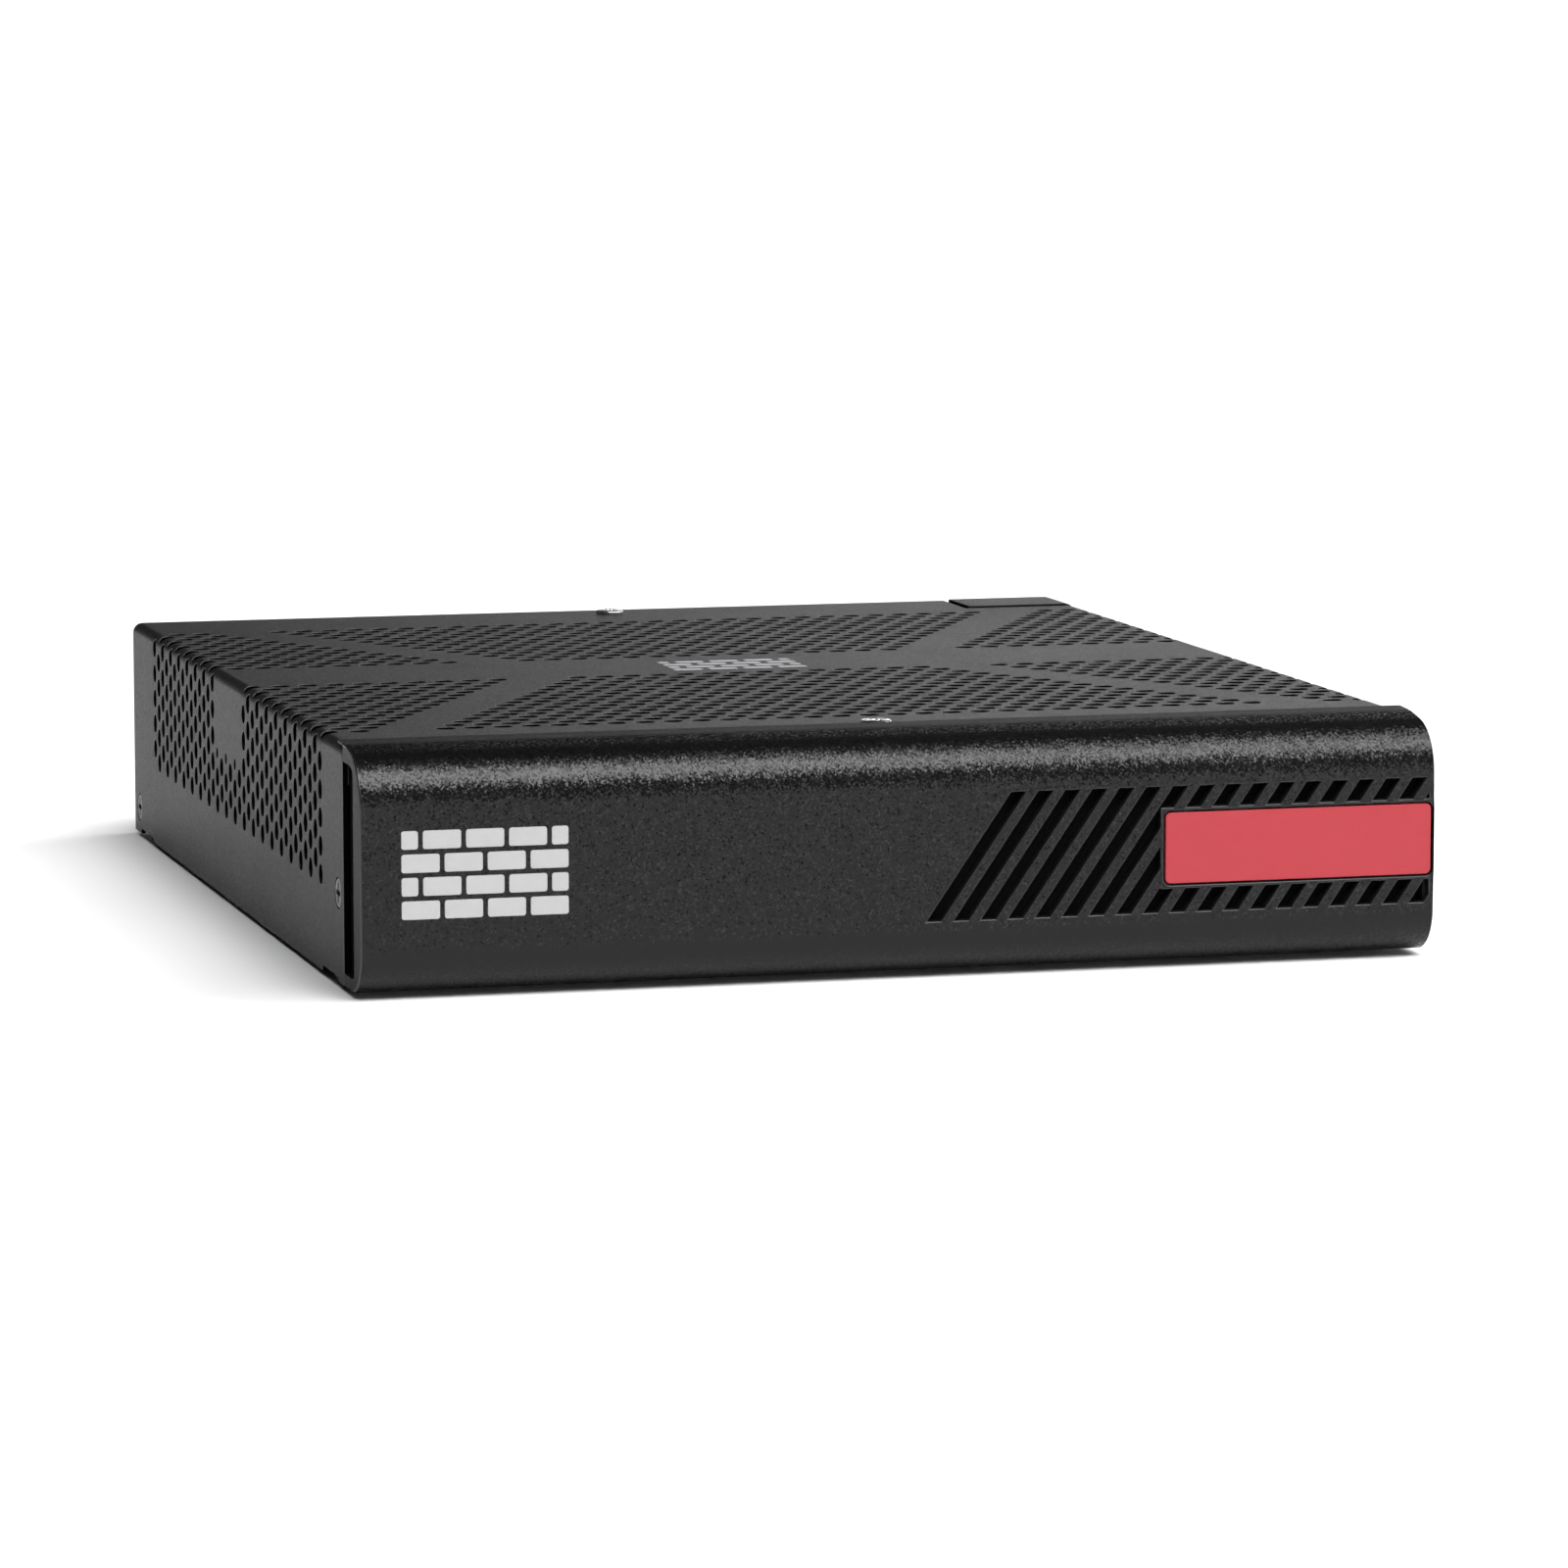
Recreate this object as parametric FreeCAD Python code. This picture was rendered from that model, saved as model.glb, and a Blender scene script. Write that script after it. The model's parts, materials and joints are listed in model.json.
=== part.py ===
import FreeCAD, Part
import math
import os

# Desktop firewall appliance: folded sheet-metal base pan, perforated U-shaped cover, moulded front bezel
# and one circuit board with its connectors along the rear edge.
# Millimetres. X is the width (+X to the right when facing the bezel), -Y is the front, +Z is up.
# The origin is at the centre of the footprint, on the surface that the rubber feet stand on.

V = FreeCAD.Vector

# ---- driving dimensions: overall -----------------------------------------------------------------
WIDTH = 200.0
DEPTH = 234.4
HALF_W = WIDTH / 2
FRONT = -DEPTH / 2
REAR = DEPTH / 2
SHEET = 1.0
BEND_R = 2.0
COVER_TOP = 44.0
COVER_BOTTOM = 0.8
COVER_FRONT = FRONT + 15.0
PAST = 1.0  # how far a cutter reaches past what it cuts
PLAY = 0.15  # room round a screw or a light pipe in its hole

# ---- perforation: one staggered lattice that runs down one side, over the top and down the other ---
HOLE_R = 1.85
PITCH_X = 5.297
PITCH_Z = 5.15
ROW_STEP = 4.68
FIRST_ROW_Y = -81.6
ROWS = 38
BAND_ROWS = range(17, 23)
BEND_HOLE_ANGLE = 78.0
SIDE_EVEN_Z = 18.25
SIDE_ODD_Z = 20.75
SIDE_EVEN_COUNT = 5
SIDE_ODD_COUNT = 5
NOTCH_TOP_Z = 28.0
NOTCH_HOLE_Z = 27.0
NOTCH_HOLE_R = 1.1
RIBBON_HOLES = 3
FRONT_ZONE_HALF = 6.5 * PITCH_X
REAR_ZONE_HALF = 7 * PITCH_X

# ---- base pan ----------------------------------------------------------------------------------
PAN_X = HALF_W - SHEET - 0.6
PAN_FLOOR = 1.8
PAN_TOP = COVER_TOP - SHEET - 0.1
PAN_FRONT = FRONT + 16.0
PAN_REAR = REAR - 1.0
FRONT_FLANGE_DEPTH = 12.0
REAR_FLANGE_DEPTH = 9.0
SIDE_FLANGE_HEIGHT = 8.0
SIDE_FLANGE_SETBACK = 14.0
PAN_BEND_R = 1.6
EAR_DEPTH = 9.0
EAR_LOW = 11.0
EAR_HIGH = 36.0
INLET_ROWS = 5
INLET_LOW = 12.8
INLET_FIRST_X = 5.9
INLET_END_X = HALF_W - 9.0
WINDOW_PLAY = 0.25

# ---- bezel -------------------------------------------------------------------------------------
BEZEL_BOTTOM = 0.9
BEZEL_TOP = 44.7
BEZEL_WALL = 2.4
BEZEL_DEPTH = 18.7
LIP_STEP = 14.4
TOP_R = 9.4
TOP_START_Z = 34.3
TOP_END_Z = 43.6
BOTTOM_R = 8.2
CREASE_DEPTH = 12.2
CREASE_Z = 44.35
CHEEK_DEPTH = 7.5
CHEEK_WALL = 1.5
CHEEK_INSET = 0.3
CHEEK_TOP = COVER_TOP - 2.6
LIP_CLEAR = 0.08
SLOT_COUNT = 19
SLOT_PITCH = 5.1
SLOT_WIDTH = 2.5
SLOT_LOW = 10.6
SLOT_HIGH = 33.4
SLOT_LEAN = 15.7
SLOT_FIRST_X = 3.6
SLOT_END_X = 98.9
LABEL_X0 = 48.4
LABEL_X1 = 99.4
LABEL_Z0 = 15.7
LABEL_Z1 = 28.7
LABEL_THICK = 1.2
LABEL_GAP = 0.25
LABEL_BORDER = 1.0
LABEL_CORNER_R = 1.0
LABEL_SINK = 0.1
HOOK_X = (-78.0, -26.0, 26.0, 78.0)
HOOK_WIDTH = 8.0
HOOK_THICK = 1.6
HOOK_UPPER_Z = 38.2
HOOK_LOWER_Z = 5.4
HOOK_ROOT = 0.2
HOOK_REACH = 2.6
HOOK_CATCH = 0.2
HOOK_TOOTH = 1.0
HOOK_PLAY = 0.5

# ---- feet and screws -----------------------------------------------------------------------------
FOOT_R = 7.0
FOOT_X = 92.0
FOOT_YS = (-90.0, 102.5)
FOOT_PLAY = 0.4
FOOT_CHAMFER = 0.4
TOP_SCREW_X = 0.5
TOP_SCREW_YS = (-94.0, 111.8)
SIDE_SCREWS = ((-97.3, 17.0), (111.6, 6.2))
SCREW_R = 1.5
HEAD_R = 2.9
HEAD_H = 1.6
HEAD_DOME = 0.45  # share of the head's height taken by its rounded rim
TOP_HEAD_H = 0.7
TOP_SHANK = 4.5
SIDE_SHANK = 4.0
SIDE_HEAD_R = HEAD_R - 0.2
COUNTERSINK = 0.05
SIDE_DRIVE_R = HEAD_R - 0.4
CROSS_WIDTH = 0.28  # of the head's radius
CROSS_LENGTH = 1.1  # of the head's radius
CROSS_DEPTH = 0.6  # of the head's height

# ---- circuit board and what stands on it ----------------------------------------------------------
BOARD_Z = 8.8
BOARD_THICK = 1.6
BOARD_TOP = BOARD_Z + BOARD_THICK
BOARD_X = 96.2
BOARD_FRONT = -88.0
BOARD_REAR = 113.0
BOARD_CORNER_R = 3.0
STANDOFF_POINTS = [(x, y) for y in (-80.0, 5.0, 90.0) for x in (-84.0, 84.0)]
STANDOFF_ACROSS = 5.5
STANDOFF_FLOOR = 1.5
BOARD_SHANK = 5.5
BOARD_PLAY = 0.1
CHIP_H = 1.1
MEMORY_X = -31.0
MEMORY_FIRST_Y = -32.0
MEMORY_PITCH = 13.0
MEMORY_CHIPS = 5
COIL_X = 86.0
COIL_FIRST_Y = 30.0
COIL_PITCH = 14.0
COILS = 3
CAN_X = 68.0
CAN_FIRST_Y = 24.0
CAN_PITCH = 8.5
CANS = 6
CAN_R = 3.15
CAN_SEAT = 0.6
CAN_TOP = 7.7
MAGNETIC_Y = 84.0
CELL_X = -74.0
CELL_Y = -52.0
CELL_R = 10.0
CELL_H = 3.2
CELL_HOLDER_R = 12.4
CELL_HOLDER_H = 4.6
CARD_X = 72.0
CARD_Y = -70.0
CARD_HALF = 14.9
CARD_LENGTH = 49.0
CARD_THICK = 1.0
CARD_LIFT = 4.0
CARD_SCREW_X = 11.5
CARD_SCREW_Y = 45.5

# ---- rear connectors: all mouths lie in one plane just proud of the rear wall ----------------------
MOUTH_Y = PAN_REAR + 0.8
JACK_PITCH = 14.0
JACK_HEIGHT = 13.4
JACK_DEPTH = 18.0
DATA_PORTS = 8
DATA_CENTRE_X = 16.5
MANAGEMENT_X = -51.0
CONSOLE_X = -69.0
JACK_MARGIN = 0.5
SHELL = 0.3
CAVITY_W = 11.9
CAVITY_H = 6.9
CAVITY_DEPTH = 13.5
CAVITY_FLOOR = 2.5
LATCH_W = 6.4
LATCH_H = 1.6
WIRES = 8
WIRE_PITCH = 1.02
WIRE_W = 0.4
WIRE_DIP = 1.75
LAMP_W = 2.8
LAMP_H = 1.5
LAMP_SIDE = 3.9
LAMP_LIFT = 1.3
USB_X = -93.2
USB_W = 5.8
USB_H = 13.2
USB_DEPTH = 14.0
MINI_X = -84.0
MINI_W = 7.7
MINI_H = 4.1
MINI_DEPTH = 9.2
POWER_X = 90.2
POWER_W = 11.4
POWER_H = 12.0
POWER_DEPTH = 14.0
POWER_PIN_PITCH = 4.2
POWER_PIN_HALF = 0.55
POWER_ROOM = 4.7
POWER_ROOM_DEPTH = 9.5
SIGNAL_X = 79.5
RESET_Z = 13.4
RESET_TIP_R = 1.0
RESET_PLAY = 0.4
RESET_FACE_Y = MOUTH_Y - 7.0
RESET_STROKE_ROOM = 1.0
PIPE_R = 1.2
PIPE_ZS = (19.5, 24.0, 28.5)
LOCK_X = 90.2
LOCK_Z = 35.0
LOCK_W = 7.0
LOCK_H = 3.0
LOCK_ROUND = 1.4
LOCK_SKIRT = 4.0
CORNER_X = 75.5
CORNER_Y = 100.5
CORNER_GAP = 0.6
VENT_R = 1.6
VENT_ZS = (30.2, 34.9, 39.6)
VENT_X0 = -92.0
VENT_X1 = 70.0

# ---- heat sink -----------------------------------------------------------------------------------
SINK_X = (-48.0, 44.0)
SINK_Y = (-44.0, 62.0)
SINK_BASE_Z = 14.2
SINK_BASE = 4.0
SINK_TOP = 38.5
FIN_COUNT = 17
FIN_THICK = 1.4
SINK_INSET = 5.0
SINK_CLEARING = 11.0
SINK_SHANK_R = 1.4
SINK_SPACER_R = 3.0
CPU_X = -8.0
CPU_Y = 6.0
SWITCH_X = 22.0
SWITCH_Y = 42.0
CPU_SIZE = 27.0
CPU_LID = 20.0
CPU_CARRIER_H = 1.4
HOT_CHIP_H = 2.6
SWITCH_SIZE = 23.0


# ---- small helpers --------------------------------------------------------------------------------
def block(x0, x1, y0, y1, z0, z1):
    """Box between two opposite corners, given axis by axis."""
    return Part.makeBox(x1 - x0, y1 - y0, z1 - z0, V(x0, y0, z0))


def centred(x, y, z0, w, d, h):
    """Box centred on x and y, standing on z0."""
    return block(x - w / 2, x + w / 2, y - d / 2, y + d / 2, z0, z0 + h)


def rod(radius, start, axis, length):
    return Part.makeCylinder(radius, length, start, axis)


def disc(radius, x, y, z0, z1):
    return Part.makeCylinder(radius, z1 - z0, V(x, y, z0))


def joined(shapes):
    """Fuse overlapping or touching shapes into one solid."""
    shapes = list(shapes)
    return shapes[0].multiFuse(shapes[1:]).removeSplitter()


def prism_x(edges, x0, x1):
    """Solid from a closed outline in the YZ plane, run along X."""
    wire = Part.Wire(Part.__sortEdges__(edges))
    face = Part.Face(wire)
    face.translate(V(x0, 0, 0))
    return face.extrude(V(x1 - x0, 0, 0))


def polygon_x(points, x0, x1):
    """Prism along X from (y, z) corners."""
    corners = [V(0, y, z) for y, z in points]
    return prism_x(Part.makePolygon(corners + corners[:1]).Edges, x0, x1)


def plate_y(points, y0, y1):
    """Plate with (x, z) corners and thickness along Y."""
    corners = [V(x, y0, z) for x, z in points]
    face = Part.Face(Part.makePolygon(corners + corners[:1]))
    return face.extrude(V(0, y1 - y0, 0))


def rounded(shape, radius, along):
    """Round the edges of a box that run along one axis."""
    edges = [e for e in shape.Edges if abs(e.tangentAt(e.FirstParameter).dot(along)) > 0.99]
    return shape.makeFillet(radius, edges)


def mirrored(shape):
    return shape.mirror(V(0, 0, 0), V(1, 0, 0))


def save(name, shape):
    """Write one sub-part. A list of solids becomes one file of separate solids."""
    if isinstance(shape, (list, tuple)):
        solids = [solid for item in shape for solid in item.Solids]
        shape = Part.makeCompound(solids) if len(solids) > 1 else solids[0]
    elif len(shape.Solids) == 1:
        shape = shape.Solids[0]
    shape.exportStep("parts/" + name + ".step")


# ---- perforated cover -----------------------------------------------------------------------------
def u_edges(half, top, bottom, radius):
    """Open U outline in the XZ plane: up the left side, over the top, down the right side."""
    inset = radius * (1 - math.sqrt(0.5))
    left = [V(-half, 0, bottom), V(-half, 0, top - radius), V(-half + inset, 0, top - inset)]
    flat = [V(-half + radius, 0, top), V(half - radius, 0, top)]
    right = [V(half - inset, 0, top - inset), V(half, 0, top - radius), V(half, 0, bottom)]
    return [
        Part.makeLine(left[0], left[1]),
        Part.Arc(left[1], left[2], flat[0]).toShape(),
        Part.makeLine(flat[0], flat[1]),
        Part.Arc(flat[1], right[0], right[1]).toShape(),
        Part.makeLine(right[1], right[2]),
    ]


def u_sheet(front, rear, bottom):
    """The bent sheet itself, with no holes."""
    edges = u_edges(HALF_W, COVER_TOP, bottom, BEND_R)
    edges += u_edges(HALF_W - SHEET, COVER_TOP - SHEET, bottom, BEND_R - SHEET)
    edges.append(Part.makeLine(V(-HALF_W, 0, bottom), V(-HALF_W + SHEET, 0, bottom)))
    edges.append(Part.makeLine(V(HALF_W, 0, bottom), V(HALF_W - SHEET, 0, bottom)))
    face = Part.Face(Part.Wire(Part.__sortEdges__(edges)))
    face.translate(V(0, front, 0))
    return face.extrude(V(0, rear - front, 0))


def row_y(row):
    return FIRST_ROW_Y + ROW_STEP * row


def top_hole_xs(row):
    """Hole centres of one row on the top, on the right half (x >= 0), with the slanting plain ribbon left out."""
    offset = 0.0 if row % 2 else PITCH_X / 2
    steps_from_band = BAND_ROWS[0] - 1 - row if row < BAND_ROWS[0] else row - BAND_ROWS[-1] - 1
    zone_half = FRONT_ZONE_HALF if row < BAND_ROWS[0] else REAR_ZONE_HALF
    inner_limit = zone_half + steps_from_band * PITCH_X / 2
    outer_limit = inner_limit + RIBBON_HOLES * PITCH_X
    tolerance = PITCH_X / 8
    xs = []
    x = offset
    while x < HALF_W - BEND_R - SHEET:
        if x < inner_limit + tolerance or x > outer_limit - tolerance:
            xs.append(x)
        x += PITCH_X
    return xs


def top_cutters(row):
    cutters = []
    for x in top_hole_xs(row):
        for sign in ((1,) if x == 0 else (-1, 1)):
            cutters.append(disc(HOLE_R, sign * x, row_y(row), COVER_TOP - 2 * SHEET, COVER_TOP + SHEET))
    return cutters


def bend_cutters(row):
    """Even rows have a hole in the bend itself, square to the bent sheet."""
    angle = math.radians(BEND_HOLE_ANGLE)
    centre_x = HALF_W - BEND_R
    centre_z = COVER_TOP - BEND_R
    cutters = []
    for sign in (-1, 1):
        start = V(sign * centre_x, row_y(row), centre_z)
        cutters.append(rod(HOLE_R, start, V(sign * math.cos(angle), 0, math.sin(angle)), 2 * BEND_R))
    return cutters


def side_cutter(radius, sign, y, z):
    """Cutter of one side hole. Its seam is turned down, so that no seam crosses the bend."""
    cutter = rod(radius, V(sign * (HALF_W - 2 * SHEET), y, z), V(sign, 0, 0), 3 * SHEET)
    cutter.rotate(V(0, y, z), V(1, 0, 0), 180)
    return cutter


def side_cutters(row):
    """Holes of one row in both side walls. Beside the plain band they stop lower down."""
    even = row % 2 == 0
    first = SIDE_EVEN_Z if even else SIDE_ODD_Z
    count = SIDE_EVEN_COUNT if even else SIDE_ODD_COUNT
    holes = [(first + PITCH_Z * i, HOLE_R) for i in range(count)]
    if row in BAND_ROWS:
        holes = [hole for hole in holes if hole[0] < NOTCH_TOP_Z]
        if even:
            holes.append((NOTCH_HOLE_Z + NOTCH_HOLE_R, NOTCH_HOLE_R))
    cutters = []
    for z, radius in holes:
        cutters += [side_cutter(radius, sign, row_y(row), z) for sign in (-1, 1)]
    return cutters


def perforation():
    cutters = []
    for row in range(ROWS):
        cutters += side_cutters(row)
        if row not in BAND_ROWS:
            cutters += top_cutters(row)
            if row % 2 == 0:
                cutters += bend_cutters(row)
    return cutters


def cover_fastener_cutters():
    hole_r = SCREW_R + PLAY
    cutters = [disc(hole_r, TOP_SCREW_X, y, COVER_TOP - 2 * SHEET, COVER_TOP + SHEET) for y in TOP_SCREW_YS]
    for y, z in SIDE_SCREWS:
        for sign in (-1, 1):
            outward = V(sign, 0, 0)
            hole = rod(hole_r, V(sign * (HALF_W - 2 * SHEET), y, z), outward, 3 * SHEET)
            sink = Part.makeCone(hole_r, HEAD_R, SHEET, V(sign * (HALF_W - SHEET), y, z), outward)
            cutters.append(hole.fuse(sink))
    return cutters


def foot_notches():
    """Notches in the lower edge of both side walls, beside the feet."""
    half = FOOT_R + FOOT_PLAY
    notches = [block(HALF_W - 2 * SHEET, HALF_W + SHEET, y - half, y + half, 0, PAN_FLOOR) for y in FOOT_YS]
    return notches + [mirrored(notch) for notch in notches]


def top_cover():
    sheet = u_sheet(COVER_FRONT, REAR, COVER_BOTTOM)
    corner = block(CORNER_X, HALF_W + PAST, CORNER_Y, REAR + PAST, COVER_TOP - BEND_R - PAST, COVER_TOP + PAST)
    cutters = perforation() + cover_fastener_cutters() + foot_notches() + [corner]
    return sheet.cut(Part.makeCompound(cutters))


def lock_bracket():
    """Corner piece that fills the cover's rear right notch and doubles the rear wall at the lock slot."""
    skin = u_sheet(CORNER_Y + CORNER_GAP, REAR, COVER_TOP - BEND_R - CORNER_GAP)
    keep = block(CORNER_X + CORNER_GAP, HALF_W + PAST, CORNER_Y, REAR + PAST, 0, COVER_TOP + PAST)
    cap = skin.common(keep)
    plate_x0 = CORNER_X + 3 * CORNER_GAP
    wall_y = PAN_REAR - 2 * SHEET
    wall = block(plate_x0, PAN_X - SHEET, wall_y, wall_y + SHEET, LOCK_Z - LOCK_SKIRT, COVER_TOP - SHEET)
    slot = centred(LOCK_X, PAN_REAR - SHEET, LOCK_Z - LOCK_H / 2, LOCK_W, 4 * SHEET, LOCK_H)
    return joined([cap, wall]).cut(rounded(slot, LOCK_ROUND, V(0, 1, 0)))


# ---- base pan -------------------------------------------------------------------------------------
def pan_profile():
    """Floor, front wall and rear wall with their top flanges, as one strip folded four times."""
    inner_r = PAN_BEND_R - SHEET
    y0, y1, z0, z1 = PAN_FRONT, PAN_REAR, PAN_FLOOR, PAN_TOP
    y_front_tip = y0 + FRONT_FLANGE_DEPTH
    y_rear_tip = y1 - REAR_FLANGE_DEPTH

    def corner(cy, cz, radius, start):
        a, m, b = [math.radians(start + turn) for turn in (0, 45, 90)]
        points = [V(0, cy + radius * math.cos(t), cz + radius * math.sin(t)) for t in (a, m, b)]
        return Part.Arc(*points).toShape()

    edges = []
    for offset, radius in ((0.0, PAN_BEND_R), (SHEET, inner_r)):
        a0, a1 = y0 + offset, y1 - offset
        b0, b1 = z0 + offset, z1 - offset
        edges.append(corner(a0 + radius, b0 + radius, radius, 180))
        edges.append(corner(a1 - radius, b0 + radius, radius, 270))
        edges.append(corner(a1 - radius, b1 - radius, radius, 0))
        edges.append(corner(a0 + radius, b1 - radius, radius, 90))
        edges.append(Part.makeLine(V(0, a0 + radius, b0), V(0, a1 - radius, b0)))
        edges.append(Part.makeLine(V(0, a0, b0 + radius), V(0, a0, b1 - radius)))
        edges.append(Part.makeLine(V(0, a1, b0 + radius), V(0, a1, b1 - radius)))
        edges.append(Part.makeLine(V(0, a0 + radius, b1), V(0, y_front_tip, b1)))
        edges.append(Part.makeLine(V(0, a1 - radius, b1), V(0, y_rear_tip, b1)))
    edges.append(Part.makeLine(V(0, y_front_tip, z1), V(0, y_front_tip, z1 - SHEET)))
    edges.append(Part.makeLine(V(0, y_rear_tip, z1), V(0, y_rear_tip, z1 - SHEET)))
    return edges


def rear_cutouts():
    """Openings in the rear wall, each a little larger than what comes through it."""
    y0, y1 = PAN_REAR - 2 * SHEET, PAN_REAR + SHEET
    play = WINDOW_PLAY

    def window(x, z0, width, height):
        return block(x - width / 2 - play, x + width / 2 + play, y0, y1, z0 - play, z0 + height + play)

    cuts = [window(DATA_CENTRE_X, BOARD_TOP, DATA_PORTS * JACK_PITCH + 2 * JACK_MARGIN, JACK_HEIGHT)]
    cuts += [window(x, BOARD_TOP, JACK_PITCH + 2 * JACK_MARGIN, JACK_HEIGHT) for x in (MANAGEMENT_X, CONSOLE_X)]
    cuts.append(window(USB_X, BOARD_TOP, USB_W, USB_H))
    cuts.append(window(MINI_X, BOARD_TOP, MINI_W, MINI_H))
    cuts.append(window(POWER_X, BOARD_TOP, POWER_W, POWER_H))
    cuts.append(rod(RESET_TIP_R + RESET_PLAY, V(SIGNAL_X, y0, RESET_Z), V(0, 1, 0), y1 - y0))
    cuts += [rod(PIPE_R + PLAY, V(SIGNAL_X, y0, z), V(0, 1, 0), y1 - y0) for z in PIPE_ZS]
    slot = centred(LOCK_X, PAN_REAR - SHEET / 2, LOCK_Z - LOCK_H / 2, LOCK_W, y1 - y0, LOCK_H)
    cuts.append(rounded(slot, LOCK_ROUND, V(0, 1, 0)))
    return cuts


def rear_vents():
    cuts = []
    for index, z in enumerate(VENT_ZS):
        x = VENT_X0 + (PITCH_X / 2 if index % 2 else 0)
        while x < VENT_X1:
            cuts.append(rod(VENT_R, V(x, PAN_REAR - 2 * SHEET, z), V(0, 1, 0), 3 * SHEET))
            x += PITCH_X
    return cuts


def front_vents():
    """Air inlet holes in the front wall, behind the bezel's grille."""
    cuts = []
    for index in range(INLET_ROWS):
        z = INLET_LOW + index * ROW_STEP
        x = INLET_FIRST_X + (PITCH_X / 2 if index % 2 else 0)
        while x < INLET_END_X:
            cuts.append(rod(HOLE_R, V(x, PAN_FRONT - SHEET, z), V(0, 1, 0), 3 * SHEET))
            x += PITCH_X
    return cuts


def hook_windows():
    """Openings in the front wall, tall enough for each hook's tooth to pass."""
    room = HOOK_TOOTH + HOOK_PLAY
    width, height = HOOK_WIDTH + 2 * HOOK_PLAY, HOOK_THICK + 2 * room
    return [centred(x, PAN_FRONT + SHEET / 2, z - room, width, 3 * SHEET, height)
            for x in HOOK_X for z in (HOOK_UPPER_Z, HOOK_LOWER_Z)]


def base_pan():
    strip = prism_x(pan_profile(), -PAN_X, PAN_X)
    side_top = PAN_FLOOR + SIDE_FLANGE_HEIGHT
    side = block(PAN_X - SHEET, PAN_X, PAN_FRONT + SIDE_FLANGE_SETBACK, PAN_REAR - SHEET, PAN_FLOOR, side_top)
    ear = block(PAN_X - SHEET, PAN_X, PAN_FRONT + SHEET / 2, PAN_FRONT + EAR_DEPTH, EAR_LOW, EAR_HIGH)
    pan = joined([strip, side, mirrored(side), ear, mirrored(ear)])
    cuts = rear_cutouts() + rear_vents() + front_vents() + hook_windows()
    cuts += [disc(SCREW_R, TOP_SCREW_X, y, PAN_TOP - 2 * SHEET, PAN_TOP + SHEET) for y in TOP_SCREW_YS]
    for y, z in SIDE_SCREWS:
        cuts += [rod(SCREW_R, V(sign * (PAN_X - 2 * SHEET), y, z), V(sign, 0, 0), 3 * SHEET) for sign in (-1, 1)]
    # the rear flange stops short of the lock bracket
    flange_y = PAN_REAR - REAR_FLANGE_DEPTH - PAST
    cuts.append(block(CORNER_X - PAST, PAN_X + PAST, flange_y, PAN_REAR - SHEET, PAN_TOP - 2 * SHEET, PAN_TOP + PAST))
    return pan.cut(Part.makeCompound(cuts))


# ---- bezel ----------------------------------------------------------------------------------------
def arc_yz(cy, cz, radius, start, end):
    angles = [math.radians(a) for a in (start, (start + end) / 2, end)]
    points = [V(0, cy + radius * math.cos(t), cz + radius * math.sin(t)) for t in angles]
    return Part.Arc(*points).toShape()


def bezel_shell():
    """C section: flat face, large round shoulder at the top, smaller one at the bottom, thin lip over the cover."""
    wall = BEZEL_WALL
    top_angle = math.degrees(math.asin((TOP_END_Z - TOP_START_Z) / TOP_R))
    top_end_y = FRONT + TOP_R - TOP_R * math.cos(math.radians(top_angle))
    inner_top_r = TOP_R - wall
    inner_bottom_r = BOTTOM_R - wall
    bottom_z = BEZEL_BOTTOM + BOTTOM_R
    step_y = FRONT + LIP_STEP
    lip_y = FRONT + BEZEL_DEPTH
    lip_z = COVER_TOP + LIP_CLEAR
    under_z = TOP_START_Z + inner_top_r - LIP_CLEAR
    inner_angle = math.degrees(math.asin((under_z - TOP_START_Z) / inner_top_r))
    inner_top_y = FRONT + TOP_R - inner_top_r * math.cos(math.radians(inner_angle))

    def p(y, z):
        return V(0, y, z)

    outer = [
        Part.makeLine(p(step_y, BEZEL_BOTTOM), p(FRONT + BOTTOM_R, BEZEL_BOTTOM)),
        arc_yz(FRONT + BOTTOM_R, bottom_z, BOTTOM_R, 270, 180),
        Part.makeLine(p(FRONT, bottom_z), p(FRONT, TOP_START_Z)),
        arc_yz(FRONT + TOP_R, TOP_START_Z, TOP_R, 180, 180 - top_angle),
        Part.makeLine(p(top_end_y, TOP_END_Z), p(FRONT + CREASE_DEPTH, CREASE_Z)),
        Part.makeLine(p(FRONT + CREASE_DEPTH, CREASE_Z), p(lip_y, BEZEL_TOP)),
    ]
    inner = [
        Part.makeLine(p(lip_y, BEZEL_TOP), p(lip_y, lip_z)),
        Part.makeLine(p(lip_y, lip_z), p(step_y, lip_z)),
        Part.makeLine(p(step_y, lip_z), p(step_y, under_z)),
        Part.makeLine(p(step_y, under_z), p(inner_top_y, under_z)),
        arc_yz(FRONT + TOP_R, TOP_START_Z, inner_top_r, 180 - inner_angle, 180),
        Part.makeLine(p(FRONT + wall, TOP_START_Z), p(FRONT + wall, bottom_z)),
        arc_yz(FRONT + BOTTOM_R, bottom_z, inner_bottom_r, 180, 270),
        Part.makeLine(p(FRONT + BOTTOM_R, BEZEL_BOTTOM + wall), p(step_y, BEZEL_BOTTOM + wall)),
        Part.makeLine(p(step_y, BEZEL_BOTTOM + wall), p(step_y, BEZEL_BOTTOM)),
    ]
    return prism_x(outer + inner, -HALF_W, HALF_W)


def end_relief():
    """Shallow step round the inside of the C section's end, which leaves a thin rim."""
    return prism_x(cheek_outline(), HALF_W - CHEEK_INSET, HALF_W + PAST)


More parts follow.
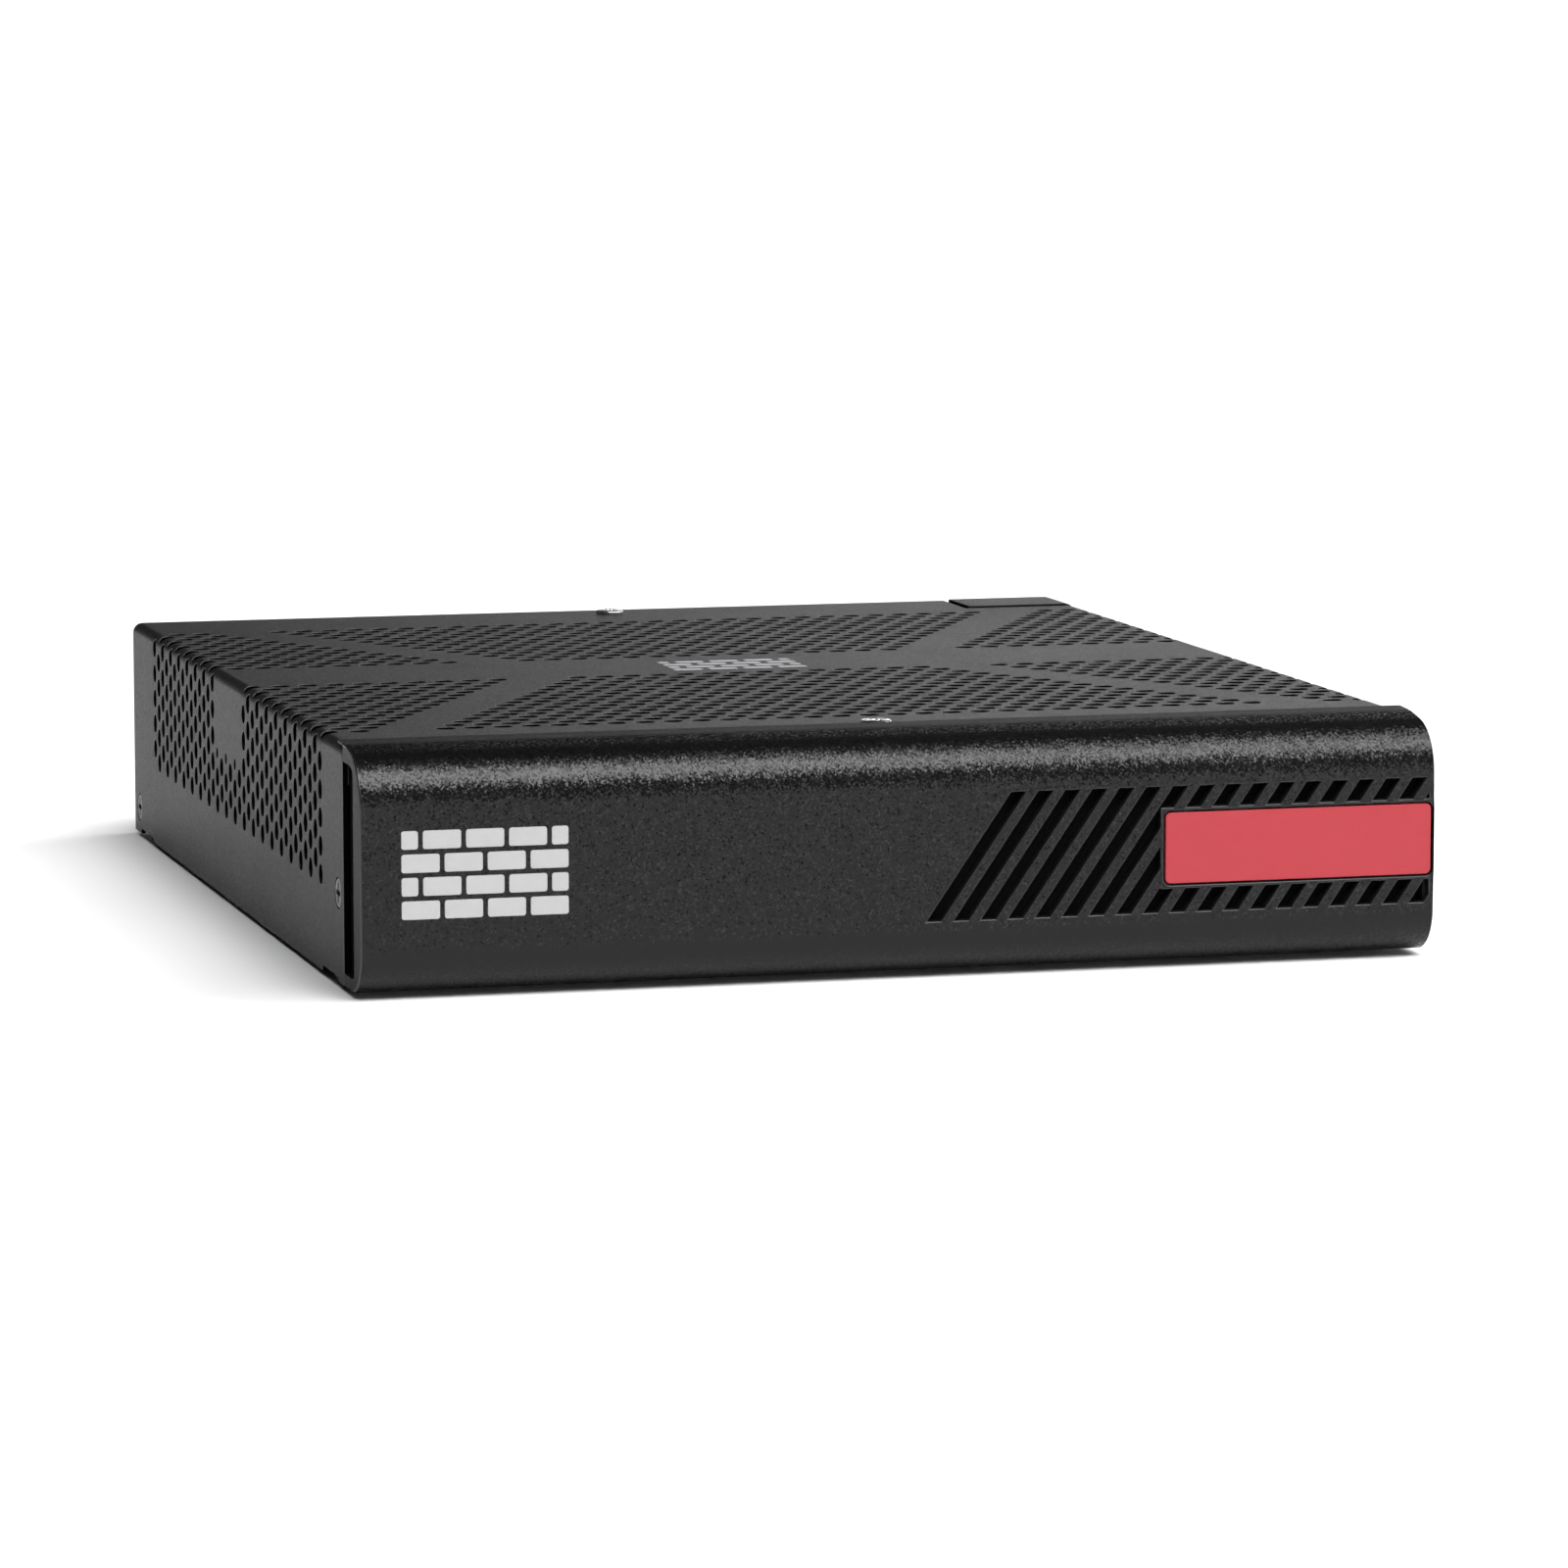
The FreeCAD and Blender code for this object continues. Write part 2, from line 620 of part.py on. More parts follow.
def bezel_cheek():
    """End wall that closes the front part of the C section, at the foot of the shallow step."""
    x0 = HALF_W - CHEEK_INSET - CHEEK_WALL
    low = BEZEL_BOTTOM + BEZEL_WALL
    plate = block(x0, x0 + CHEEK_WALL, FRONT + BEZEL_WALL / 2, FRONT + CHEEK_DEPTH, low, CHEEK_TOP)
    room = prism_x(cheek_outline(), x0 - PAST, HALF_W)
    return plate.common(room)


def cheek_outline():
    """Outline just inside the bezel's outer surface, to keep the cheek from breaking through it."""
    r_top = TOP_R - BEZEL_WALL / 2
    r_bottom = BOTTOM_R - BEZEL_WALL / 2
    y0 = FRONT + BEZEL_WALL / 2
    z0 = BEZEL_BOTTOM + BEZEL_WALL / 2
    z1 = TOP_START_Z + r_top
    y1 = FRONT + LIP_STEP
    return [
        Part.makeLine(V(0, y1, z0), V(0, y0 + r_bottom, z0)),
        arc_yz(y0 + r_bottom, z0 + r_bottom, r_bottom, 270, 180),
        Part.makeLine(V(0, y0, z0 + r_bottom), V(0, y0, TOP_START_Z)),
        arc_yz(y0 + r_top, TOP_START_Z, r_top, 180, 90),
        Part.makeLine(V(0, y0 + r_top, z1), V(0, y1, z1)),
        Part.makeLine(V(0, y1, z1), V(0, y1, z0)),
    ]


def grille_cutters():
    """Slots that lean to the right, kept off the label's border and the bezel's end."""
    y0, y1 = FRONT - PAST, FRONT + BEZEL_WALL + PAST
    border = LABEL_BORDER
    keep_out = block(LABEL_X0 - border, HALF_W, y0 - PAST, y1 + PAST, LABEL_Z0 - border, LABEL_Z1 + border)
    limit = block(SLOT_FIRST_X - PAST, SLOT_END_X, y0, y1, SLOT_LOW, SLOT_HIGH)
    slots = []
    for index in range(SLOT_COUNT):
        x = SLOT_FIRST_X + SLOT_PITCH * index
        corners = [
            (x, SLOT_LOW), (x + SLOT_WIDTH, SLOT_LOW),
            (x + SLOT_WIDTH + SLOT_LEAN, SLOT_HIGH), (x + SLOT_LEAN, SLOT_HIGH)]
        slots.append(plate_y(corners, y0, y1).common(limit).cut(keep_out))
    return [slot for slot in slots if slot.Solids]


def label_recess():
    gap = LABEL_GAP
    floor_y = FRONT + LABEL_THICK + LABEL_SINK
    pocket = block(LABEL_X0 - gap, LABEL_X1 + gap, FRONT - PAST, floor_y, LABEL_Z0 - gap, LABEL_Z1 + gap)
    return rounded(pocket, LABEL_CORNER_R + gap, V(0, 1, 0))


def snap_hook(x, z, upward):
    """Flat spring arm that passes the front wall and catches behind it."""
    x0, x1 = x - HOOK_WIDTH / 2, x + HOOK_WIDTH / 2
    y0 = FRONT + BEZEL_WALL + HOOK_ROOT
    y1 = PAN_FRONT + SHEET + HOOK_REACH
    catch_y = PAN_FRONT + SHEET + HOOK_CATCH
    arm = block(x0, x1, y0, y1, z, z + HOOK_THICK)
    base_z, tip = (z + HOOK_THICK, HOOK_TOOTH) if upward else (z, -HOOK_TOOTH)
    tooth = polygon_x([(catch_y, base_z), (catch_y, base_z + tip), (y1, base_z)], x0, x1)
    return joined([arm, tooth])


def front_bezel():
    cheek = bezel_cheek()
    relief = end_relief()
    body = joined([bezel_shell(), cheek, mirrored(cheek)])
    body = body.cut(Part.makeCompound(grille_cutters() + [label_recess(), relief, mirrored(relief)]))
    hooks = [snap_hook(x, HOOK_UPPER_Z, False) for x in HOOK_X]
    hooks += [snap_hook(x, HOOK_LOWER_Z, True) for x in HOOK_X]
    return joined([body] + hooks)


def label_plate():
    """Red plate, its face just behind the bezel's."""
    plate = block(LABEL_X0, LABEL_X1, FRONT + LABEL_SINK, FRONT + LABEL_THICK, LABEL_Z0, LABEL_Z1)
    return rounded(plate, LABEL_CORNER_R, V(0, 1, 0))


# ---- feet and screws -------------------------------------------------------------------------------
def rubber_feet():
    feet = []
    for y in FOOT_YS:
        for x in (-FOOT_X, FOOT_X):
            foot = disc(FOOT_R, x, y, 0, PAN_FLOOR)
            lower = [e for e in foot.Edges if e.BoundBox.ZMax < 0.01]
            feet.append(foot.makeChamfer(FOOT_CHAMFER, lower))
    return feet


def cross_recess(radius, depth, start, axis):
    """Cutter for a cross drive: two crossed bars sunk into a screw head."""
    width = radius * CROSS_WIDTH
    length = radius * CROSS_LENGTH
    bars = [Part.makeBox(length, width, depth, V(-length / 2, -width / 2, 0)),
            Part.makeBox(width, length, depth, V(-width / 2, -length / 2, 0))]
    cross = joined(bars)
    cross.Placement = FreeCAD.Placement(start, FreeCAD.Rotation(V(0, 0, 1), axis))
    return cross


def pan_screw(x, y, z, shank_length, head_r=HEAD_R, head_h=HEAD_H, shank_r=SCREW_R):
    """Upright screw whose domed head sits on the plane z."""
    head = disc(head_r, x, y, z, z + head_h)
    rim = [e for e in head.Edges if e.BoundBox.ZMin > z + head_h - 0.01]
    head = head.makeFillet(head_h * HEAD_DOME, rim)
    shank = disc(shank_r, x, y, z - shank_length, z)
    screw = joined([head, shank])
    depth = head_h * CROSS_DEPTH
    return screw.cut(cross_recess(head_r, depth, V(x, y, z + head_h - depth), V(0, 0, 1)))


def top_screws():
    return [pan_screw(TOP_SCREW_X, y, COVER_TOP, TOP_SHANK, head_h=TOP_HEAD_H) for y in TOP_SCREW_YS]


def side_screws():
    """Countersunk screws, their heads level with the side walls."""
    screws = []
    for y, z in SIDE_SCREWS:
        for sign in (-1, 1):
            outward = V(sign, 0, 0)
            foot = V(sign * (HALF_W - SHEET), y, z)
            head = Part.makeCone(SCREW_R, SIDE_HEAD_R, SHEET - COUNTERSINK, foot, outward)
            shank = rod(SCREW_R, foot - outward * SIDE_SHANK, outward, SIDE_SHANK + SHEET / 8)
            drive = cross_recess(SIDE_DRIVE_R, SHEET, foot + outward * SHEET / 4, outward)
            screws.append(joined([head, shank]).cut(drive))
    return screws


# ---- circuit board ----------------------------------------------------------------------------------
def main_board():
    board = block(-BOARD_X, BOARD_X, BOARD_FRONT, BOARD_REAR, BOARD_Z, BOARD_TOP)
    board = rounded(board, BOARD_CORNER_R, V(0, 0, 1))
    holes = [disc(SCREW_R + BOARD_PLAY, x, y, BOARD_Z - PAST, BOARD_TOP + PAST) for x, y in STANDOFF_POINTS]
    holes += [disc(SINK_SHANK_R, x, y, BOARD_Z - PAST, BOARD_TOP + PAST) for x, y in sink_screw_points()]
    return board.cut(Part.makeCompound(holes))


def hexagon(x, y, across, z0, z1):
    corner_r = across / math.sqrt(3)
    turns = [math.radians(60 * i + 30) for i in range(6)]
    corners = [V(x + corner_r * math.cos(turn), y + corner_r * math.sin(turn), z0) for turn in turns]
    return Part.Face(Part.makePolygon(corners + corners[:1])).extrude(V(0, 0, z1 - z0))


def board_standoffs():
    floor = PAN_FLOOR + SHEET
    bore_z = floor + STANDOFF_FLOOR
    return [hexagon(x, y, STANDOFF_ACROSS, floor, BOARD_Z).cut(disc(SCREW_R, x, y, bore_z, BOARD_Z + PAST))
            for x, y in STANDOFF_POINTS]


def board_screws():
    return [pan_screw(x, y, BOARD_TOP, BOARD_SHANK) for x, y in STANDOFF_POINTS]


def sink_screw_points():
    x0, x1 = SINK_X
    y0, y1 = SINK_Y
    inset = SINK_INSET
    return [(x, y) for x in (x0 + inset, x1 - inset) for y in (y0 + inset, y1 - inset)]


def heat_sink():
    """Passive extrusion: flat base with fins along Y, and a clear corner round each of its four screws."""
    x0, x1 = SINK_X
    y0, y1 = SINK_Y
    fin_z = SINK_BASE_Z + SINK_BASE
    base = block(x0, x1, y0, y1, SINK_BASE_Z, fin_z)
    step = (x1 - x0 - FIN_THICK) / (FIN_COUNT - 1)
    fins = [block(x0 + step * i, x0 + step * i + FIN_THICK, y0, y1, fin_z, SINK_TOP) for i in range(FIN_COUNT)]
    body = joined([base] + fins)
    clear = SINK_CLEARING
    cuts = []
    for x, y in sink_screw_points():
        clearing = centred(x, y, fin_z, clear, clear, SINK_TOP)
        cuts.append(clearing.fuse(disc(SCREW_R + BOARD_PLAY, x, y, SINK_BASE_Z - PAST, SINK_TOP)))
    return body.cut(Part.makeCompound(cuts))


def heat_sink_screws():
    top_z = SINK_BASE_Z + SINK_BASE
    return [pan_screw(x, y, top_z, top_z - BOARD_TOP, shank_r=SINK_SHANK_R) for x, y in sink_screw_points()]


def heat_sink_spacers():
    bore_r = SINK_SHANK_R + BOARD_PLAY / 2
    return [disc(SINK_SPACER_R, x, y, BOARD_TOP, SINK_BASE_Z).cut(disc(bore_r, x, y, 0, SINK_TOP))
            for x, y in sink_screw_points()]


def processor():
    """Square carrier with a metal lid on it."""
    carrier = centred(CPU_X, CPU_Y, BOARD_TOP, CPU_SIZE, CPU_SIZE, CPU_CARRIER_H)
    lid = centred(CPU_X, CPU_Y, BOARD_TOP + CPU_CARRIER_H, CPU_LID, CPU_LID, HOT_CHIP_H - CPU_CARRIER_H)
    return joined([carrier, lid])


def switch_chip():
    return centred(SWITCH_X, SWITCH_Y, BOARD_TOP, SWITCH_SIZE, SWITCH_SIZE, HOT_CHIP_H)


def thermal_pads():
    """Soft pads between the two hot chips and the heat sink."""
    low = BOARD_TOP + HOT_CHIP_H
    return [centred(x, y, low, CPU_LID, CPU_LID, SINK_BASE_Z - low)
            for x, y in ((CPU_X, CPU_Y), (SWITCH_X, SWITCH_Y))]


def memory_chips():
    ys = [MEMORY_FIRST_Y + MEMORY_PITCH * i for i in range(MEMORY_CHIPS)]
    return [centred(MEMORY_X, y, BOARD_TOP, 14, 10, CHIP_H) for y in ys]


def ssd_parts():
    """Storage card on its edge socket, held by two screws on two posts."""
    x, y0 = CARD_X, CARD_Y
    half = CARD_HALF
    low = BOARD_TOP + CARD_LIFT
    high = low + CARD_THICK
    socket = block(x - half - 1.1, x + half + 1.1, y0 - 5, y0 + 1, BOARD_TOP, high + 1)
    socket = socket.cut(block(x - half - 0.1, x + half + 0.1, y0 - 2, y0 + 2, low, high))
    card = block(x - half, x + half, y0 - 1.9, y0 + CARD_LENGTH, low, high)
    chips = [centred(x, y0 + 15 + 19 * i, high, 18, 14, 1.2) for i in range(2)]
    points = [(x + side * CARD_SCREW_X, y0 + CARD_SCREW_Y) for side in (-1, 1)]
    holes = [disc(1.2, px, py, low - PAST, high + 2) for px, py in points]
    module = joined([card] + chips).cut(Part.makeCompound(holes))
    posts = [disc(2.6, px, py, BOARD_TOP, low).cut(disc(1.0, px, py, BOARD_TOP + 0.8, high)) for px, py in points]
    screws = [pan_screw(px, py, high, 3.0, head_r=2.1, head_h=1.2, shank_r=1.0) for px, py in points]
    return socket, module, posts, screws


def magnetics():
    """One transformer block behind each pair of data ports."""
    pairs = DATA_PORTS // 2
    xs = [DATA_CENTRE_X + 2 * JACK_PITCH * (i - (pairs - 1) / 2) for i in range(pairs)]
    return [rounded(centred(x, MAGNETIC_Y, BOARD_TOP, 24, 14, 6.2), 0.6, V(0, 0, 1)) for x in xs]


def inductors():
    ys = [COIL_FIRST_Y + COIL_PITCH * i for i in range(COILS)]
    return [rounded(centred(COIL_X, y, BOARD_TOP, 10, 10, 4.8), 1.5, V(0, 0, 1)) for y in ys]


def capacitors():
    cans = []
    for i in range(CANS):
        y = CAN_FIRST_Y + CAN_PITCH * i
        can = disc(CAN_R, CAN_X, y, BOARD_TOP + CAN_SEAT, BOARD_TOP + CAN_TOP)
        seat = centred(CAN_X, y, BOARD_TOP, 6.6, 6.6, CAN_SEAT)
        cans.append(joined([can, seat]))
    return cans


def coin_cell_parts():
    x, y = CELL_X, CELL_Y
    low = BOARD_TOP + 1.0
    top = BOARD_TOP + CELL_HOLDER_H
    holder = disc(CELL_HOLDER_R, x, y, BOARD_TOP, top).cut(disc(CELL_R + 0.2, x, y, low, top + PAST))
    mouth = block(x - CELL_HOLDER_R - PAST, x - CELL_R / 2, y - 6, y + 6, low, top + PAST)
    return holder.cut(mouth), disc(CELL_R, x, y, low, low + CELL_H)


# ---- rear connectors ---------------------------------------------------------------------------------
def jack_cavity(x):
    """Stepped mouth of one modular jack, latch side down."""
    floor = BOARD_TOP + CAVITY_FLOOR
    y0, y1 = MOUTH_Y - CAVITY_DEPTH, MOUTH_Y + 1
    main = block(x - CAVITY_W / 2, x + CAVITY_W / 2, y0, y1, floor, floor + CAVITY_H)
    latch = block(x - LATCH_W / 2, x + LATCH_W / 2, y0, y1, floor - LATCH_H, floor + 1)
    return joined([main, latch])


def jack_lamp_windows(x):
    z = BOARD_TOP + CAVITY_FLOOR + CAVITY_H + LAMP_LIFT
    return [(x + side * LAMP_SIDE, z) for side in (-1, 1)]


def jack_block(centres):
    """Metal shell, plastic body, contact wires and lamp windows for a row of modular jacks."""
    x0 = min(centres) - JACK_PITCH / 2 - JACK_MARGIN
    x1 = max(centres) + JACK_PITCH / 2 + JACK_MARGIN
    y0, y1 = MOUTH_Y - JACK_DEPTH, MOUTH_Y
    z0, z1 = BOARD_TOP, BOARD_TOP + JACK_HEIGHT
    cavities = [jack_cavity(x) for x in centres]
    windows = [spot for x in centres for spot in jack_lamp_windows(x)]
    lamp_cuts = [centred(x, y1 - 1, z, LAMP_W, 4, LAMP_H) for x, z in windows]
    outer = block(x0, x1, y0, y1, z0, z1)
    inner = block(x0 + SHELL, x1 - SHELL, y0 + SHELL, y1 - SHELL, z0 - 1, z1 - SHELL)
    shell = outer.cut(inner).cut(Part.makeCompound(cavities + lamp_cuts))
    body = block(x0 + SHELL, x1 - SHELL, y0 + SHELL, y1 - SHELL, z0, z1 - SHELL)
    body = body.cut(Part.makeCompound(cavities + lamp_cuts))
    lamps = [block(x - LAMP_W / 2, x + LAMP_W / 2, y1 - 3, y1 - 0.05, z, z + LAMP_H) for x, z in windows]
    wires = [wire for x in centres for wire in jack_wires(x)]
    return shell, body, wires, lamps


def jack_wires(x):
    """Eight sprung contact wires that slope down from the roof of the cavity."""
    roof = BOARD_TOP + CAVITY_FLOOR + CAVITY_H
    mouth = MOUTH_Y - 1.6
    back = MOUTH_Y - CAVITY_DEPTH + 1.2
    low = roof - WIRE_DIP
    outline = [(mouth, roof), (back + 1.0, low), (back, low), (back, low + WIRE_W), (back + 1.0, low + WIRE_W),
               (mouth - 2.4, roof)]
    wires = []
    for i in range(WIRES):
        wx = x + (i - (WIRES - 1) / 2) * WIRE_PITCH
        wires.append(polygon_x(outline, wx - WIRE_W / 2, wx + WIRE_W / 2))
    return wires


def open_can(x, width, height, depth):
    """Thin drawn shell of a small connector, open towards the rear."""
    y0, y1 = MOUTH_Y - depth, MOUTH_Y
    can = block(x - width / 2, x + width / 2, y0, y1, BOARD_TOP, BOARD_TOP + height)
    can = rounded(can, 0.5, V(0, 1, 0))
    room = block(x - width / 2 + SHELL, x + width / 2 - SHELL, y0 + SHELL, y1 + 1,
                 BOARD_TOP + SHELL, BOARD_TOP + height - SHELL)
    return can.cut(room)


def usb_tongue():
    base = block(USB_X - USB_W / 2 + SHELL, USB_X + USB_W / 2 - SHELL, MOUTH_Y - USB_DEPTH + SHELL,
                 MOUTH_Y - USB_DEPTH + 4, BOARD_TOP + SHELL, BOARD_TOP + USB_H - SHELL)
    blade = block(USB_X - 0.1, USB_X + 1.8, MOUTH_Y - USB_DEPTH + 3, MOUTH_Y - 1.0, BOARD_TOP + 1.1,
                  BOARD_TOP + USB_H - 1.1)
    return joined([base, blade])


def mini_usb_tongue():
    base = block(MINI_X - MINI_W / 2 + SHELL, MINI_X + MINI_W / 2 - SHELL, MOUTH_Y - MINI_DEPTH + SHELL,
                 MOUTH_Y - MINI_DEPTH + 2.5, BOARD_TOP + SHELL, BOARD_TOP + MINI_H - SHELL)
    blade = block(MINI_X - 2.3, MINI_X + 2.3, MOUTH_Y - MINI_DEPTH + 2, MOUTH_Y - 1.0, BOARD_TOP + 1.5,
                  BOARD_TOP + 2.4)
    return joined([base, blade])


def power_socket():
    """Two by two shrouded inlet for the low-voltage supply, with its four pins."""
    y0, y1 = MOUTH_Y - POWER_DEPTH, MOUTH_Y
    housing = block(POWER_X - POWER_W / 2, POWER_X + POWER_W / 2, y0, y1, BOARD_TOP, BOARD_TOP + POWER_H)
    mid_z = BOARD_TOP + POWER_H / 2
    half, back = POWER_ROOM, y1 - POWER_ROOM_DEPTH
    room = block(POWER_X - half, POWER_X + half, back, y1 + PAST, mid_z - half, mid_z + half)
    latch = block(POWER_X - 1.6, POWER_X + 1.6, back, y1 + PAST, mid_z + 4.0, mid_z + 5.5)
    housing = housing.cut(joined([room, latch]))
    spots = [(POWER_X + sx * POWER_PIN_PITCH / 2, mid_z + sz * POWER_PIN_PITCH / 2)
             for sx in (-1, 1) for sz in (-1, 1)]
    pin = POWER_PIN_HALF
    pins = [block(x - pin, x + pin, back, y1 - 2.0, z - pin, z + pin) for x, z in spots]
    return housing, pins


def reset_switch_body():
    y1 = RESET_FACE_Y
    body = block(SIGNAL_X - 3.0, SIGNAL_X + 3.0, y1 - 3.5, y1, BOARD_TOP, BOARD_TOP + 6.0)
    bore = rod(RESET_TIP_R + 0.35, V(SIGNAL_X, y1 - 1.6, RESET_Z), V(0, 1, 0), 3)
    return body.cut(bore)


def reset_button():
    """Plunger of the reset switch. A pin through the rear wall pushes it towards -Y."""
    start = V(SIGNAL_X, RESET_FACE_Y - RESET_STROKE_ROOM, RESET_Z)
    plunger = rod(RESET_TIP_R, start, V(0, 1, 0), 3.4)
    tip = [e for e in plunger.Edges if e.BoundBox.YMin > RESET_FACE_Y]
    return plunger.makeFillet(0.3, tip)


def light_pipe():
    """Clear moulding that stands over the status lamps and carries their light to the rear wall."""
    stem = block(SIGNAL_X - 1.6, SIGNAL_X + 1.6, MOUTH_Y - 16, MOUTH_Y - 12, BOARD_TOP + 1.2, PIPE_ZS[-1] + 1.8)
    fingers = [rod(PIPE_R, V(SIGNAL_X, MOUTH_Y - 13, z), V(0, 1, 0), 12.9) for z in PIPE_ZS]
    return joined([stem] + fingers)


def status_lamps():
    return [centred(SIGNAL_X + dx, MOUTH_Y - 14, BOARD_TOP, 0.8, 1.6, 0.9) for dx in (-1.1, 0.0, 1.1)]


# ---- write every sub-part -------------------------------------------------------------------------------
def build():
    os.makedirs("parts", exist_ok=True)
    save("base_pan", base_pan())
    save("top_cover", top_cover())
    save("lock_bracket", lock_bracket())
    save("front_bezel", front_bezel())
    save("label_plate", label_plate())
    save("rubber_feet", rubber_feet())
    save("top_screws", top_screws())
    save("side_screws", side_screws())
    save("main_board", main_board())
    save("board_standoffs", board_standoffs())
    save("board_screws", board_screws())
    save("heat_sink", heat_sink())
    save("heat_sink_screws", heat_sink_screws())
    save("heat_sink_spacers", heat_sink_spacers())
    save("processor", processor())
    save("switch_chip", switch_chip())
    save("thermal_pads", thermal_pads())
    save("memory_chips", memory_chips())
    for name, shape in zip(("ssd_socket", "ssd_module", "ssd_posts", "ssd_screws"), ssd_parts()):
        save(name, shape)
    save("magnetics", magnetics())
    save("inductors", inductors())
    save("capacitors", capacitors())
    for name, shape in zip(("coin_cell_holder", "coin_cell"), coin_cell_parts()):
        save(name, shape)
    data_centres = [DATA_CENTRE_X + JACK_PITCH * (i - (DATA_PORTS - 1) / 2) for i in range(DATA_PORTS)]
    jack_blocks = {"data_port": data_centres, "management_port": [MANAGEMENT_X], "console_port": [CONSOLE_X]}
    for name, centres in jack_blocks.items():
        for piece, shape in zip(("shell", "body", "contacts", "lamps"), jack_block(centres)):
            save(name + "_" + piece, shape)
    save("usb_shell", open_can(USB_X, USB_W, USB_H, USB_DEPTH))
    save("usb_tongue", usb_tongue())
    save("mini_usb_shell", open_can(MINI_X, MINI_W, MINI_H, MINI_DEPTH))
    save("mini_usb_tongue", mini_usb_tongue())
    for name, shape in zip(("power_socket_body", "power_socket_pins"), power_socket()):
        save(name, shape)
    save("reset_switch_body", reset_switch_body())
    save("reset_button", reset_button())
    save("light_pipe", light_pipe())
    save("status_lamps", status_lamps())


build()
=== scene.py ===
import json
import math

import bpy
import numpy as np
from mathutils import Matrix, Vector
from mathutils.geometry import delaunay_2d_cdt


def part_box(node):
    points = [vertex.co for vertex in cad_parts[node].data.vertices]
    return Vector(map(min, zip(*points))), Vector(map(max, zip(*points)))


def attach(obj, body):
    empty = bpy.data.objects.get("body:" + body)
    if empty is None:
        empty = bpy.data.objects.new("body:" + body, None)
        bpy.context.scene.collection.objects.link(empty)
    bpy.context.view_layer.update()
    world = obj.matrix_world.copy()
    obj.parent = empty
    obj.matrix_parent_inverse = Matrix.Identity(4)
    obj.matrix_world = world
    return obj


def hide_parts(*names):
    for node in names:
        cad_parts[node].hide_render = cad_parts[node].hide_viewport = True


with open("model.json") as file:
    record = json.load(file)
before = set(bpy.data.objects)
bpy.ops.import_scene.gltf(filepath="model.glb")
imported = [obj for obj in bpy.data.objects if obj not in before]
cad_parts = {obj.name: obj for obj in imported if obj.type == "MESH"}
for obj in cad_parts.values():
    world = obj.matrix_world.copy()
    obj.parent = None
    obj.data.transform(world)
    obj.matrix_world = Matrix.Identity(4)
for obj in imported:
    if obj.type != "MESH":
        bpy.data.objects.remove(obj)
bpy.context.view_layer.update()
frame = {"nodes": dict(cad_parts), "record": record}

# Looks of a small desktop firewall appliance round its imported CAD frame.
# Meshes are laid out in millimetres and written in metres. X is the width, -Y the front, +Z up.
MM = 0.001


def node_box(name):
    """Lowest and highest corner of a CAD node, in millimetres."""
    low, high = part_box(name)
    return np.array(low) / MM, np.array(high) / MM


# ---- sizes shared with the CAD part ----------------------------------------------------------------
COVER_LOW, COVER_HIGH = node_box("top_cover")
BEZEL_LOW, BEZEL_HIGH = node_box("front_bezel")
LABEL_LOW, LABEL_HIGH = node_box("label_plate")
SCREW_HIGH = node_box("top_screws")[1]
HALF_W = COVER_HIGH[0]
FRONT = BEZEL_LOW[1]
REAR = COVER_HIGH[1]
COVER_TOP = COVER_HIGH[2]
SHEET = 1.0
BEND_R = 2.0
ARC = BEND_R * math.pi / 2
HOLE_R = 1.85
PITCH = 5.297
ROW_STEP = 4.68
FIRST_ROW_Y = -81.6
ROWS = 38
BAND_ROWS = range(17, 23)
SIDE_PITCH = 5.15


# ---- thin walls ------------------------------------------------------------------------------------
SHOWN, ROLLED, CUT = range(3)
SMOOTH_CORNER = 0.75
SHARPEST_MITER = 0.3


class Skin:
    """Flat layout of a thin wall: points in two coordinates and the faces between them."""

    def __init__(self):
        self.points = []
        self.faces = []
        self.found = {}

    def point(self, p, q):
        key = (round(p, 3), round(q, 3))
        if key not in self.found:
            self.found[key] = len(self.points)
            self.points.append((p, q))
        return self.found[key]

    def face(self, corners):
        """Adds a face, unless two of its corners fall on one point, which leaves it no width."""
        made = [self.point(p, q) for p, q in corners]
        if len(set(made)) == len(made):
            self.faces.append(made)


def ring_fill(skin, centre, radius, count, border):
    """Triangles between a round hole and the counter-clockwise border round it.

    Each side of the hole joins the border point nearest to it in angle.
    """
    turn = 2 * math.pi
    angles = [math.atan2(q - centre[1], p - centre[0]) for p, q in border]
    reach = [(a - angles[0]) % turn for a in angles] + [turn]
    around = [angles[0] + turn * i / count for i in range(count)]
    rim = [skin.point(centre[0] + radius * math.cos(a), centre[1] + radius * math.sin(a)) for a in around]
    outer = [skin.point(p, q) for p, q in border]
    i = j = 0
    while i < count or j < len(outer):
        if j == len(outer) or (i < count and turn * (2 * i + 1) / count <= reach[j] + reach[j + 1]):
            skin.faces.append([rim[i], outer[j % len(outer)], rim[(i + 1) % count]])
            i += 1
        else:
            skin.faces.append([rim[i % count], outer[j], outer[(j + 1) % len(outer)]])
            j += 1


def unit(v):
    """Vectors of the same direction, one unit long."""
    return v / np.maximum(np.linalg.norm(v, axis=-1, keepdims=True), 1e-12)


